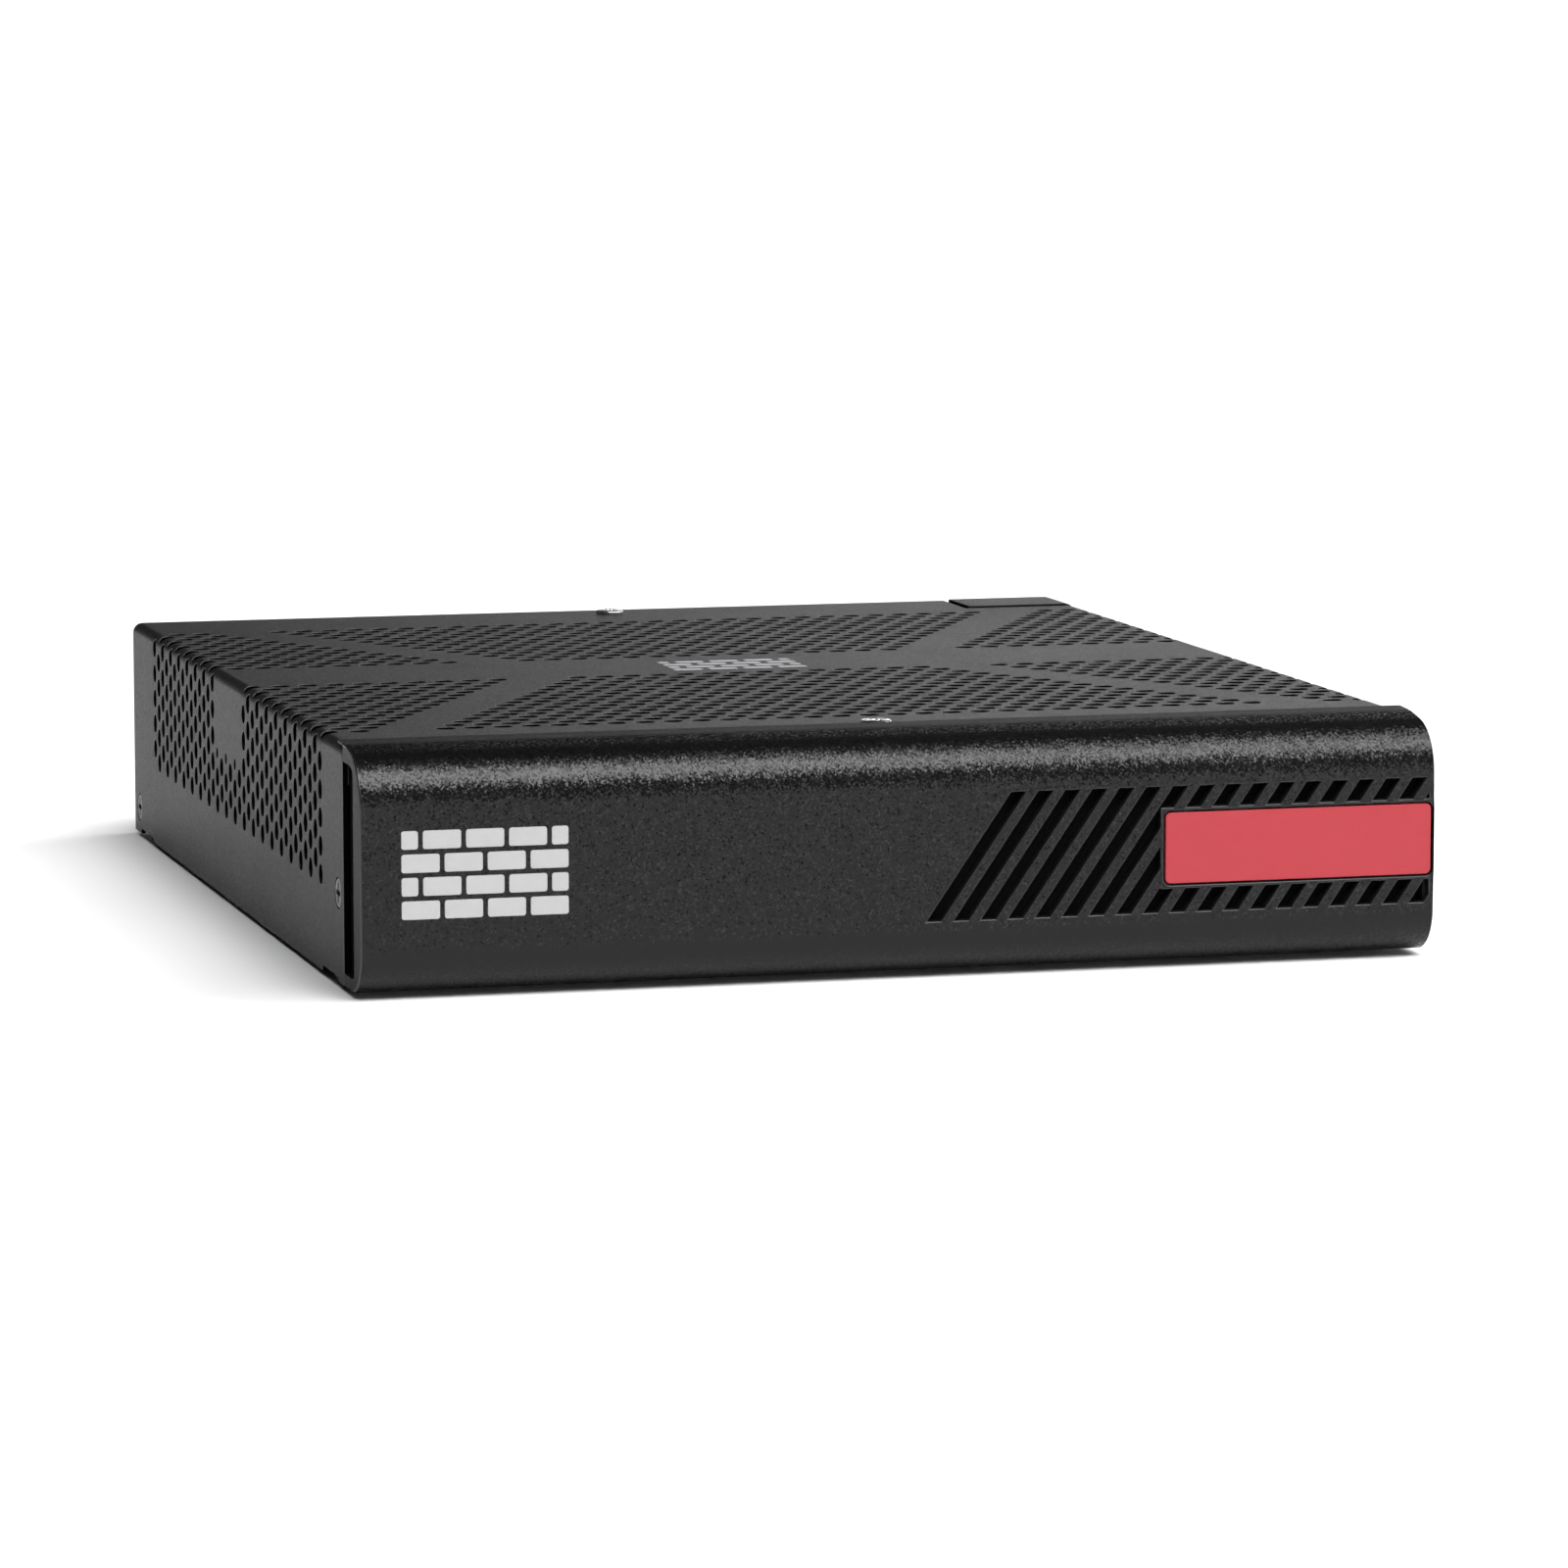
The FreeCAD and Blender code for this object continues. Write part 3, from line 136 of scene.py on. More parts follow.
def thicken(skin, place, wall, bevel, pocket=None, pocket_depth=0.0, taper=None):
    """Closed wall over a skin, with a rolled edge round every border.

    place(p, q, depth) gives 3-D points. Borders whose points satisfy pocket(p, q) become blind pockets.
    taper(p, q) narrows a hole towards the inside. Returns points, faces, one normal per face corner and
    the kind of every face: SHOWN, ROLLED for the edge ring, or CUT for what lies behind it.
    """
    pts = np.array(skin.points, float)
    step = 0.01
    p, q = pts[:, 0], pts[:, 1]
    tan_p = unit(place(p + step, q, 0 * p) - place(p - step, q, 0 * p))
    tan_q = unit(place(p, q + step, 0 * p) - place(p, q - step, 0 * p))
    up = unit(np.cross(tan_p, tan_q))
    edges = {(a, b) for face in skin.faces for a, b in zip(face, face[1:] + face[:1])}
    rim = [(a, b) for a, b in edges if (b, a) not in edges]
    leave, arrive, following = {}, {}, {}
    for a, b in rim:
        d = pts[b] - pts[a]
        n = np.array((d[1], -d[0])) / np.hypot(*d)
        leave[a], arrive[b], following[a] = n, n, b
    miter, soft = {}, {}
    for v, n in leave.items():
        dot = float(n @ arrive[v])
        miter[v] = (n + arrive[v]) / max(1 + dot, SHARPEST_MITER)
        soft[v] = dot > SMOOTH_CORNER
    move = np.zeros_like(pts)
    for v, m in miter.items():
        move[v] = m
    narrow = np.array([taper(*pt) for pt in skin.points]) if taper else np.zeros(len(pts))
    top = place(p - bevel * move[:, 0], q - bevel * move[:, 1], 0 * p)
    edge = place(p, q, 0 * p + bevel)
    back = place(p + narrow * move[:, 0], q + narrow * move[:, 1], 0 * p + wall)
    sunk = place(p, q, 0 * p + pocket_depth)
    count = len(pts)
    verts = np.vstack([top, edge, back, sunk])
    blind = {v for v in miter if pocket and pocket(*pts[v])}
    faces, normals, kinds = [], [], []

    def side(v, n):
        n = unit(miter[v]) if soft[v] else n
        return unit(tan_p[v] * n[0] + tan_q[v] * n[1])

    for face in skin.faces:
        faces.append(face)
        normals += [up[v] for v in face]
        faces.append([v + 2 * count for v in reversed(face)])
        normals += [-up[v] for v in reversed(face)]
        kinds += [SHOWN, CUT]
    for a, b in rim:
        n = leave[a]
        na, nb = side(a, n), side(b, n)
        faces.append([b, a, a + count, b + count])
        normals += [up[b], up[a], na, nb]
        low = 3 * count if a in blind else 2 * count
        faces.append([b + count, a + count, a + low, b + low])
        normals += [nb, na, na, nb]
        kinds += [ROLLED, CUT]
    done = set()
    for start in blind:
        if start in done:
            continue
        loop = [start]
        while following[loop[-1]] != start:
            loop.append(following[loop[-1]])
        done.update(loop)
        faces.append([v + 3 * count for v in reversed(loop)])
        normals += [up[v] for v in reversed(loop)]
        faces.append([v + 2 * count for v in loop])
        normals += [-up[v] for v in loop]
        kinds += [SHOWN, CUT]
    return verts, faces, np.array(normals), kinds


def build(name, parts, material, node=None, body="root", others=None):
    """One mesh object from several thickened parts. It rides on a body and may stand for CAD nodes.

    others maps a kind of face to the finish it gets in place of the main one.
    """
    verts, faces, normals, kinds, base = [], [], [], [], 0
    for v, f, n, k in parts:
        verts.append(v)
        faces += [[i + base for i in face] for face in f]
        normals.append(n)
        kinds += k
        base += len(v)
    verts = np.vstack(verts) * MM
    used = sorted({i for face in faces for i in face})
    renumber = {old: new for new, old in enumerate(used)}
    mesh = bpy.data.meshes.new(name)
    mesh.from_pydata(verts[used].tolist(), [], [[renumber[i] for i in face] for face in faces])
    mesh.shade_smooth()
    mesh.normals_split_custom_set(np.vstack(normals).tolist())
    mesh.materials.append(material)
    for number, (kind, finish) in enumerate((others or {}).items(), 1):
        mesh.materials.append(finish)
        for face, found in zip(mesh.polygons, kinds):
            if found == kind:
                face.material_index = number
    obj = bpy.data.objects.new(name, mesh)
    bpy.context.scene.collection.objects.link(obj)
    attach(obj, body)
    if node:
        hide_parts(*node)
    return obj


def outline_skin(corners):
    skin = Skin()
    skin.face(corners)
    return skin


def rounded_box(p0, p1, q0, q1, radius, steps=5):
    """Counter-clockwise outline of a rectangle with round corners."""
    out = []
    for cp, cq, start in ((p1 - radius, q0 + radius, -90), (p1 - radius, q1 - radius, 0),
                          (p0 + radius, q1 - radius, 90), (p0 + radius, q0 + radius, 180)):
        for i in range(steps + 1):
            a = math.radians(start + 90 * i / steps)
            out.append((cp + radius * math.cos(a), cq + radius * math.sin(a)))
    return out


def circle(cp, cq, radius, steps=40):
    turns = [2 * math.pi * i / steps for i in range(steps)]
    return [(cp + radius * math.cos(a), cq + radius * math.sin(a)) for a in turns]


def plane(origin, along_p, along_q):
    """Placement on a flat face, its depth measured against the outward normal."""
    origin, along_p, along_q = (np.array(v, float) for v in (origin, along_p, along_q))
    out = np.cross(along_p, along_q)

    def place(p, q, depth):
        return origin + np.outer(p, along_p) + np.outer(q, along_q) - np.outer(depth, out)
    return place


def inside(loop, p, q):
    """Whether a point lies within a closed outline."""
    hit = False
    for (p0, q0), (p1, q1) in zip(loop, loop[1:] + loop[:1]):
        if (q0 > q) != (q1 > q) and p < (p1 - p0) * (q - q0) / (q1 - q0) + p0:
            hit = not hit
    return hit


def cut_skin(outline, holes, keep=None):
    """Triangulated outline with holes.

    keep is (loops, test): extra outlines, and a test that holds on to what lies inside a hole.
    """
    loops = [outline] + holes
    points = [Vector(pt) for loop in loops for pt in loop]
    edges, base = [], 0
    for loop in loops:
        edges += [(base + i, base + (i + 1) % len(loop)) for i in range(len(loop))]
        base += len(loop)
    if keep:
        for loop in keep[0]:
            points += [Vector(pt) for pt in loop]
            edges += [(base + i, base + (i + 1) % len(loop)) for i in range(len(loop))]
            base += len(loop)
    made = delaunay_2d_cdt(points, edges, [], 0, 1e-4, False)
    skin = Skin()
    for tri in made[2]:
        corners = [tuple(made[0][i]) for i in tri]
        cp = sum(c[0] for c in corners) / 3
        cq = sum(c[1] for c in corners) / 3
        if not inside(outline, cp, cq):
            continue
        open_here = any(inside(loop, cp, cq) for loop in holes)
        if open_here and not (keep and keep[1](cp, cq)):
            continue
        (ax, ay), (bx, by), (cx, cy) = corners
        area = (bx - ax) * (cy - ay) - (cx - ax) * (by - ay)
        if abs(area) > 1e-7:
            skin.face(corners if area > 0 else corners[::-1])
    return skin


# ---- material tools --------------------------------------------------------------------------------
DUST_SCALE = 42.0


def add(tree, kind, inputs=None, **settings):
    """Adds a shader node. inputs maps a socket's name or number to a value or to another socket."""
    node = tree.nodes.new("ShaderNode" + kind)
    for key, value in settings.items():
        setattr(node, key, value)
    for key, value in (inputs or {}).items():
        if isinstance(value, bpy.types.NodeSocket):
            tree.links.new(value, node.inputs[key])
        else:
            node.inputs[key].default_value = value
    return node


def maths(tree, operation, a, b=0.0, clamp=False):
    return add(tree, "Math", {0: a, 1: b}, operation=operation, use_clamp=clamp).outputs[0]


def ramp(tree, value, low, high, out_low=0.0, out_high=1.0):
    node = add(tree, "MapRange", {0: value, 1: low, 2: high, 3: out_low, 4: out_high}, clamp=True)
    return node.outputs[0]


def mix(tree, factor, a, b):
    node = add(tree, "Mix", {0: factor, 6: a, 7: b}, data_type="RGBA")
    return node.outputs[2]


def colour(r, g, b):
    return (r, g, b, 1.0)


def noise(tree, where, scale, detail=2.0, rough=0.5):
    wanted = {"Vector": where, "Scale": scale, "Detail": detail, "Roughness": rough}
    return add(tree, "TexNoise", wanted).outputs[0]


def around_zero(tree, value, gain):
    """A 0 to 1 value moved to run evenly below and above zero, times gain."""
    return maths(tree, "MULTIPLY", maths(tree, "SUBTRACT", value, 0.5), gain)


def edge_mask(tree, radius):
    """White along sharp edges, from how far the rounded normal leaves the true one."""
    soft = add(tree, "Bevel", {"Radius": radius}, samples=4).outputs[0]
    true = add(tree, "NewGeometry").outputs["Normal"]
    dot = add(tree, "VectorMath", {0: soft, 1: true}, operation="DOT_PRODUCT").outputs["Value"]
    return ramp(tree, dot, 0.98, 0.65)


def tilted_flakes(tree, where, size, tilt, normal):
    """Normal that leans a little another way in each small cell, like the grain of a textured surface."""
    cells = add(tree, "TexVoronoi", {"Vector": where, "Scale": 1 / size}).outputs["Color"]
    lean = add(tree, "VectorMath", {0: cells, 1: (0.5, 0.5, 0.5)}, operation="SUBTRACT").outputs[0]
    lean = add(tree, "VectorMath", {0: lean, "Scale": tilt}, operation="SCALE").outputs[0]
    normal = add(tree, "VectorMath", {0: normal, 1: lean}, operation="ADD").outputs[0]
    return add(tree, "VectorMath", {0: normal}, operation="NORMALIZE").outputs[0]


def finish_material(name, base, rough, metal=0.0, grain=1800.0, grain_depth=8e-6, mottle=260.0,
                    mottle_gain=0.12, rough_gain=0.08, edge_highlight=0.0, highlight_colour=None, edge=2.0e-4, flake=0.0,
                    flake_size=3.0e-4, brushed=None, settings=None):
    """General finish: fine grain in the relief, mottling in colour and gloss, and lighter edges that are a
    painted highlight.

    grain, mottle: noise scales. edge, flake_size, grain_depth: metres. settings go to the shader's sockets.
    """
    mat = bpy.data.materials.new(name)
    mat.use_nodes = True
    tree = mat.node_tree
    tree.nodes.clear()
    where = add(tree, "TexCoord").outputs["Object"]
    if brushed:
        where_fine = add(tree, "Mapping", {"Vector": where, "Scale": brushed}).outputs[0]
    else:
        where_fine = where
    fine = noise(tree, where_fine, grain, 3.0, 0.55)
    slow = noise(tree, where, mottle, 3.0, 0.6)
    dust = noise(tree, where, DUST_SCALE, 4.0, 0.6)
    tone = maths(tree, "ADD", around_zero(tree, slow, 2 * mottle_gain), around_zero(tree, dust, mottle_gain))
    tone = maths(tree, "ADD", tone, around_zero(tree, fine, mottle_gain))
    factor = maths(tree, "ADD", tone, 1.0)
    shade = add(tree, "VectorMath", {0: tuple(base), "Scale": factor}, operation="SCALE").outputs[0]
    gloss = maths(tree, "ADD", around_zero(tree, slow, 2 * rough_gain), rough)
    gloss = maths(tree, "ADD", gloss, around_zero(tree, dust, rough_gain), True)
    # Painted highlight: a lighter colour mixed in along sharp edges, varied at random.
    if edge_highlight:
        mask = maths(tree, "MULTIPLY", edge_mask(tree, edge), edge_highlight)
        mask = maths(tree, "MULTIPLY", mask, ramp(tree, slow, 0.35, 0.65, 0.45, 1.0))
        shade = mix(tree, mask, shade, colour(*highlight_colour))
    round_edge = add(tree, "Bevel", {"Radius": edge}, samples=4).outputs[0]
    bump = add(tree, "Bump", {"Strength": 1.0, "Distance": grain_depth, "Height": fine, "Normal": round_edge})
    normal = bump.outputs[0]
    if flake:
        normal = tilted_flakes(tree, where, flake_size, flake, normal)
    shader = add(tree, "BsdfPrincipled", {"Base Color": shade, "Roughness": gloss, "Normal": normal,
                                          "Metallic": metal})
    for key, value in (settings or {}).items():
        shader.inputs[key].default_value = value
    add(tree, "OutputMaterial", {"Surface": shader.outputs[0]})
    return mat


coat = {"grain": 2300.0, "grain_depth": 1.0e-5, "mottle": 700.0, "mottle_gain": 0.16}
powder = finish_material("black_powder_coat", (0.009, 0.009, 0.0097), 0.44, **coat, rough_gain=0.05,
                         edge=1.2e-4, flake=0.10, settings={"Specular IOR Level": 0.09})
# Lighter and glossier copy of the powder coat for the rolled edge ring: the gloss is the coat's own, the
# lighter colour is a painted highlight on the hole rims.
powder_rim_highlight = finish_material("powder_coat_rolled_edge_highlight", (0.014, 0.014, 0.015), 0.30, **coat, rough_gain=0.05,
                              edge=0.6e-4, settings={"Specular IOR Level": 1.0})
# Near-black, glossless copy of the powder coat for the hole walls and the sheet's back: painted shade that
# makes the holes read dark.
powder_inner_wall_shade = finish_material("powder_coat_inner_wall_painted_shade", (0.0018, 0.0018, 0.002), 0.80, **coat,
                             settings={"Specular IOR Level": 0.0})
moulded = {"grain": 2300.0, "mottle": 900.0, "rough_gain": 0.05}
plastic = finish_material("textured_black_plastic", (0.0025, 0.0025, 0.0028), 0.23, **moulded,
                          grain_depth=1.5e-5, mottle_gain=0.25, edge=2.5e-4, flake=0.27, flake_size=3.2e-4,
                          settings={"Specular IOR Level": 0.28})
# Lighter and glossier copy of the bezel plastic for the rolled edges: the gloss is the plastic's own, the
# lighter colour is a painted highlight along the rims and slot edges.
plastic_rim_highlight = finish_material("rolled_black_plastic_highlight", (0.010, 0.010, 0.0105), 0.30, **moulded,
                               grain_depth=1.0e-5, mottle_gain=0.20, edge=1.0e-4,
                               settings={"Specular IOR Level": 0.60})
plastic_dull = finish_material("dull_black_plastic", (0.007, 0.007, 0.0074), 0.46, **moulded,
                               grain_depth=1.0e-5, mottle_gain=0.20, edge=2.5e-4, flake=0.08,
                               settings={"Specular IOR Level": 0.06})
red = finish_material("red_label_film", (0.405, 0.036, 0.047), 0.42, grain=1500.0, grain_depth=4.0e-6,
                      mottle=300.0, mottle_gain=0.03, rough_gain=0.04, edge=1.5e-4,
                      settings={"Specular IOR Level": 0.3})
ink = {"grain": 2500.0, "mottle": 900.0, "mottle_gain": 0.06}
white_ink = finish_material("white_ink", (0.41, 0.41, 0.41), 0.55, **ink)
grey_ink = finish_material("grey_ink", (0.30, 0.30, 0.31), 0.55, **ink)
# Near-black cloth for the sheet behind the slots: painted shade.
shade_sheet_finish = finish_material("painted_shade_sheet_cloth", (0.002, 0.002, 0.002), 0.85, grain=1800.0,
                               grain_depth=3e-5, settings={"Specular IOR Level": 0.1})
rubber = finish_material("foot_rubber", (0.018, 0.018, 0.018), 0.75, grain=900.0, grain_depth=2e-5)
nickel = finish_material("bright_nickel", (0.72, 0.71, 0.69), 0.24, metal=1.0, grain=1600.0, grain_depth=3e-6,
                         mottle_gain=0.06, edge=1.2e-4)
zinc = finish_material("zinc_plate", (0.24, 0.243, 0.246), 0.42, metal=1.0, grain=1300.0, grain_depth=5e-6,
                       mottle_gain=0.08, edge=1.5e-4, settings={"Specular Tint": colour(0.35, 0.35, 0.35)})
# Black zinc; its edges are painted lighter, a painted highlight for the light rim round each head.
black_screw = finish_material("black_zinc", (0.045, 0.045, 0.048), 0.38, metal=0.6, grain=1500.0,
                              grain_depth=6e-6, edge_highlight=0.3, highlight_colour=(0.16, 0.16, 0.16), edge=1.2e-4)
tinned = finish_material("tinned_shell", (0.40, 0.40, 0.41), 0.36, metal=1.0, grain=700.0, grain_depth=3e-6,
                         brushed=(1.0, 0.12, 1.0), mottle_gain=0.08, edge=1.2e-4)
gold = finish_material("gold_contact", (0.85, 0.58, 0.22), 0.25, metal=1.0, grain=2000.0, grain_depth=2e-6,
                       edge=5e-5)
socket = finish_material("socket_plastic", (0.020, 0.020, 0.021), 0.48, grain=1600.0, grain_depth=6e-6,
                         edge=1.2e-4)
# Green solder mask darkened to near black: the green is the board's own, the darkening is painted shade that
# makes the inside seen through the slots read black.
board = finish_material("solder_mask_and_painted_shade", (0.006, 0.010, 0.009), 0.34, grain=600.0, grain_depth=1.2e-5,
                        mottle=120.0, mottle_gain=0.35, edge=1e-4)
sink = finish_material("black_anodised_fins", (0.10, 0.10, 0.105), 0.42, metal=0.8, grain=900.0,
                       grain_depth=6e-6, brushed=(1.0, 0.08, 1.0), edge=1.5e-4)
chip = finish_material("chip_resin", (0.022, 0.022, 0.024), 0.55, grain=1900.0, edge=1.5e-4)
lid = finish_material("nickel_lid", (0.58, 0.57, 0.55), 0.33, metal=1.0, grain=900.0, grain_depth=3e-6)
pad = finish_material("thermal_pad", (0.30, 0.33, 0.36), 0.8, grain=700.0, grain_depth=2e-5)
can = finish_material("capacitor_can", (0.68, 0.69, 0.70), 0.27, metal=1.0, grain=900.0, grain_depth=3e-6,
                      edge=3e-4)
ferrite = finish_material("pressed_ferrite", (0.10, 0.10, 0.11), 0.7, grain=1200.0, grain_depth=1.6e-5,
                          edge=3e-4)
lamp = finish_material("clear_lamp", (0.80, 0.86, 0.80), 0.12, grain=900.0, grain_depth=3e-6,
                       mottle_gain=0.03, edge=1.5e-4, settings={"Transmission Weight": 0.7, "IOR": 1.49})

SLOT_FINISH = {
    "painted_steel": powder, "bezel_plastic": plastic, "label_red": red, "foot_rubber": rubber,
    "zinc_steel": zinc, "black_steel": black_screw, "board_green": board, "sink_aluminium": sink,
    "chip_black": chip, "chip_lid": lid, "pad_grey": pad, "socket_plastic": socket, "shell_nickel": tinned,
    "contact_gold": gold, "lamp_clear": lamp, "can_aluminium": can, "ferrite_grey": ferrite}
for part in frame["record"]["subparts"]:
    obj = frame["nodes"][part["node"]]
    obj.data.materials.clear()
    obj.data.materials.append(SLOT_FINISH[part["material_slot"]])


# ---- perforated cover ------------------------------------------------------------------------------
FLAT_END = HALF_W - BEND_R
BEND_END = FLAT_END + ARC
EDGE_U = BEND_END + COVER_TOP - BEND_R - COVER_LOW[2]
BAND_U = EDGE_U - 1.0
NOTCH_HALF = 7.4
FOOT_YS = (-90.0, 102.5)
CORNER_X, CORNER_Y = 75.5, 100.5
FRONT_STRIP_END = -90.5
TOP_SCREW_X = 0.5
TOP_SCREW_YS = (-94.0, 111.8)
TOP_SCREW_HOLE_R = 1.65
SIDE_SCREWS = ((-97.3, 17.0), (111.6, 6.2))
SIDE_SCREW_CELLS = ((122.317, 129.9), (133.4, 140.4))
SIDE_SCREW_HOLE_R = 2.9
SIDE_EVEN_ZS = [38.85 - SIDE_PITCH * k for k in range(5)]
SIDE_ODD_ZS = [41.35 - SIDE_PITCH * k for k in range(5)]
SMALL_HOLE_Z, SMALL_HOLE_R = 28.1, 1.1
EVEN_START = BEND_END + 0.36
CORNER_DROP = BEND_END + 1.0


def fold(u, v, depth):
    """Bent sheet: u runs across the top and down the sides, v runs back, depth goes into the sheet."""
    a, s = np.abs(u), np.sign(u)
    turn = np.clip((a - FLAT_END) / BEND_R, 0, math.pi / 2)
    radius = BEND_R - depth
    x = np.minimum(a, FLAT_END) + radius * np.sin(turn)
    z = COVER_TOP - BEND_R + radius * np.cos(turn) - np.maximum(a - BEND_END, 0)
    return np.stack([s * x, v, z], axis=1)


def side_u(z):
    """How far across the sheet a height on the side lies."""
    return BEND_END + COVER_TOP - BEND_R - z


def cover_stops():
    """Every place across the sheet where a face may begin or end."""
    right = [PITCH / 2 * k for k in range(1, 37)] + [FLAT_END, CORNER_X]
    right += [FLAT_END + ARC * k / 6 for k in range(1, 7)]
    right += [EVEN_START, CORNER_DROP]
    right += [side_u(z) - SIDE_PITCH / 2 for z in SIDE_EVEN_ZS[1:] + SIDE_ODD_ZS[1:]]
    right += [side_u(z) + SIDE_PITCH / 2 for z in (SIDE_EVEN_ZS[-1], SIDE_ODD_ZS[-1])]
    right += [SIDE_SCREW_CELLS[0][1], *SIDE_SCREW_CELLS[1], BAND_U]
    return sorted([-u for u in right] + [0.0] + right)


STOPS = cover_stops()


def stop(u):
    """The stop nearest to a place across the sheet."""
    return min(STOPS, key=lambda s: abs(s - u))


def row_holes(row):
    """Holes of one row as (centre, radius, cell start, cell end), for the right half."""
    even = row % 2 == 0
    out = []
    if row not in BAND_ROWS:
        steps = BAND_ROWS[0] - 1 - row if row < BAND_ROWS[0] else row - BAND_ROWS[-1] - 1
        inner = (6.5 if row < BAND_ROWS[0] else 7.0) * PITCH + steps * PITCH / 2
        u = PITCH / 2 if even else 0.0
        while u < FLAT_END - SHEET:
            if u < inner + PITCH / 8 or u > inner + 3 * PITCH - PITCH / 8:
                out.append((u, HOLE_R, u - PITCH / 2, u + PITCH / 2))
            u += PITCH
        if even:
            out.append((FLAT_END + BEND_R * math.radians(12), HOLE_R, 18 * PITCH, EVEN_START))
    start = EVEN_START if even else FLAT_END + ARC / 3
    for z in (SIDE_EVEN_ZS if even else SIDE_ODD_ZS):
        u = side_u(z)
        end = u + SIDE_PITCH / 2
        if row not in BAND_ROWS or z < 28:
            out.append((u, HOLE_R, start, end))
        elif even and z < 30:
            out.append((side_u(SMALL_HOLE_Z), SMALL_HOLE_R, start, end))
        start = end
    return out


def both_sides(holes):
    """Holes of the right half and their mirror images, with their cells' ends on stops."""
    out = [(u, r, a, b) for u, r, a, b in holes]
    out += [(-u, r, -b, -a) for u, r, a, b in holes if u > 0]
    return sorted((u, r, stop(a), stop(b)) for u, r, a, b in out)


def screw_holes(top_y, side_place, cell):
    """Holes for the top screw and the two side screws at one end of the cover."""
    holes = [(top_y, (TOP_SCREW_X, TOP_SCREW_HOLE_R, -PITCH, PITCH))]
    for s in (-1, 1):
        u = s * side_u(side_place[1])
        holes.append((side_place[0], (u, SIDE_SCREW_HOLE_R, *sorted((s * cell[0], s * cell[1])))))
    return holes


def cover_strips():
    """(start, end, holes) from the front edge to the rear edge, each hole with its place along the sheet."""
    front, rear = [screw_holes(*end) for end in zip(TOP_SCREW_YS, SIDE_SCREWS, SIDE_SCREW_CELLS)]
    strips = [(COVER_LOW[1], FRONT_STRIP_END, front)]
    strips.append((FRONT_STRIP_END, FIRST_ROW_Y - ROW_STEP / 2, []))
    for row in range(ROWS):
        v = FIRST_ROW_Y + ROW_STEP * row
        holes = [(v, hole) for hole in both_sides(row_holes(row))]
        strips.append((v - ROW_STEP / 2, v + ROW_STEP / 2, holes))
    strips.append((strips[-1][1], CORNER_Y, []))
    strips.append((CORNER_Y, REAR, rear))
    return strips


def cover_skin():
    """The cover laid flat: strips with holes, the rear corner left open and the foot notches in the edges."""
    skin = Skin()
    strips = cover_strips()
    notch_stops = [y + s * NOTCH_HALF for y in FOOT_YS for s in (-1, 1)]
    for v0, v1, holes in strips:
        extra = [v for v in notch_stops if v0 < v < v1]
        taken = []
        for v, (u, r, a, b) in holes:
            a, b = stop(a), stop(b)
            taken.append((a, b))
            line = [s for s in STOPS if a - 1e-6 <= s <= b + 1e-6]
            border = [(s, v0) for s in line] + [(s, v1) for s in reversed(line)]
            ring_fill(skin, (u, v), r, 20 if r < 2 else 32, border)
        for a, b in zip(STOPS, STOPS[1:]):
            middle = (a + b) / 2
            if any(t0 < middle < t1 for t0, t1 in taken):
                continue
            if v0 > CORNER_Y - 0.1 and CORNER_X < middle < CORNER_DROP:
                continue
            right = extra if b == STOPS[-1] else []
            left = extra[::-1] if a == STOPS[0] else []
            skin.face([(a, v0), (b, v0)] + [(b, v) for v in right]
                      + [(b, v1), (a, v1)] + [(a, v) for v in left])
    lines = sorted({v for s in strips for v in s[:2]} | set(notch_stops))
    for v0, v1 in zip(lines, lines[1:]):
        middle = (v0 + v1) / 2
        if any(abs(middle - y) < NOTCH_HALF for y in FOOT_YS):
            continue
        for a, b in ((-EDGE_U, -BAND_U), (BAND_U, EDGE_U)):
            skin.face([(a, v0), (b, v0), (b, v1), (a, v1)])
    return skin


def screw_taper(u, v):
    """The side screws' holes narrow inwards."""
    near = any(math.hypot(abs(u) - side_u(z), v - y) < SIDE_SCREW_HOLE_R + 0.1 for y, z in SIDE_SCREWS)
    return 1.25 if near else 0.0


# The hole walls and the sheet's back get the near-black copy of the coat, painted shade; the rolled rims get
# the lighter copy, a painted highlight.
build("cover", [thicken(cover_skin(), fold, SHEET, 0.11, taper=screw_taper)], powder, ["top_cover"],
      others={ROLLED: powder_rim_highlight, CUT: powder_inner_wall_shade})


# ---- corner piece over the lock slot ---------------------------------------------------------------
def corner_skin():
    """The bent sheet that fills the cover's rear corner."""
    skin = Skin()
    low, high = node_box("lock_bracket")
    us = [low[0] + 0.5, 82.0, 90.0, FLAT_END]
    us += [FLAT_END + ARC * k / 6 for k in range(1, 7)] + [BEND_END + 0.6]
    for a, b in zip(us, us[1:]):
        skin.face([(a, CORNER_Y + 1.2), (b, CORNER_Y + 1.2), (b, high[1]), (a, high[1])])
    return skin


def lift(place, rise):
    """Placement raised a little, for a sheet that lies proud of its neighbour."""
    def raised(p, q, depth):
        return place(p, q, depth) + np.array((0, 0, rise))
    return raised


lock_slot = rounded_box(-93.7, -86.7, 33.5, 36.5, 1.4)
lock_plate = cut_skin(rounded_box(-97.4, -77.3, 31.0, 43.0, 0.5), [lock_slot])
# Its cut walls and back get the near-black copy of the coat: painted shade.
build("lock_corner", [
    thicken(corner_skin(), lift(fold, 0.25), SHEET, 0.16),
    thicken(lock_plate, plane((0, REAR - 2.0, 0), (-1, 0, 0), (0, 0, 1)), SHEET, 0.12)],
    powder, ["lock_bracket"], others={CUT: powder_inner_wall_shade})


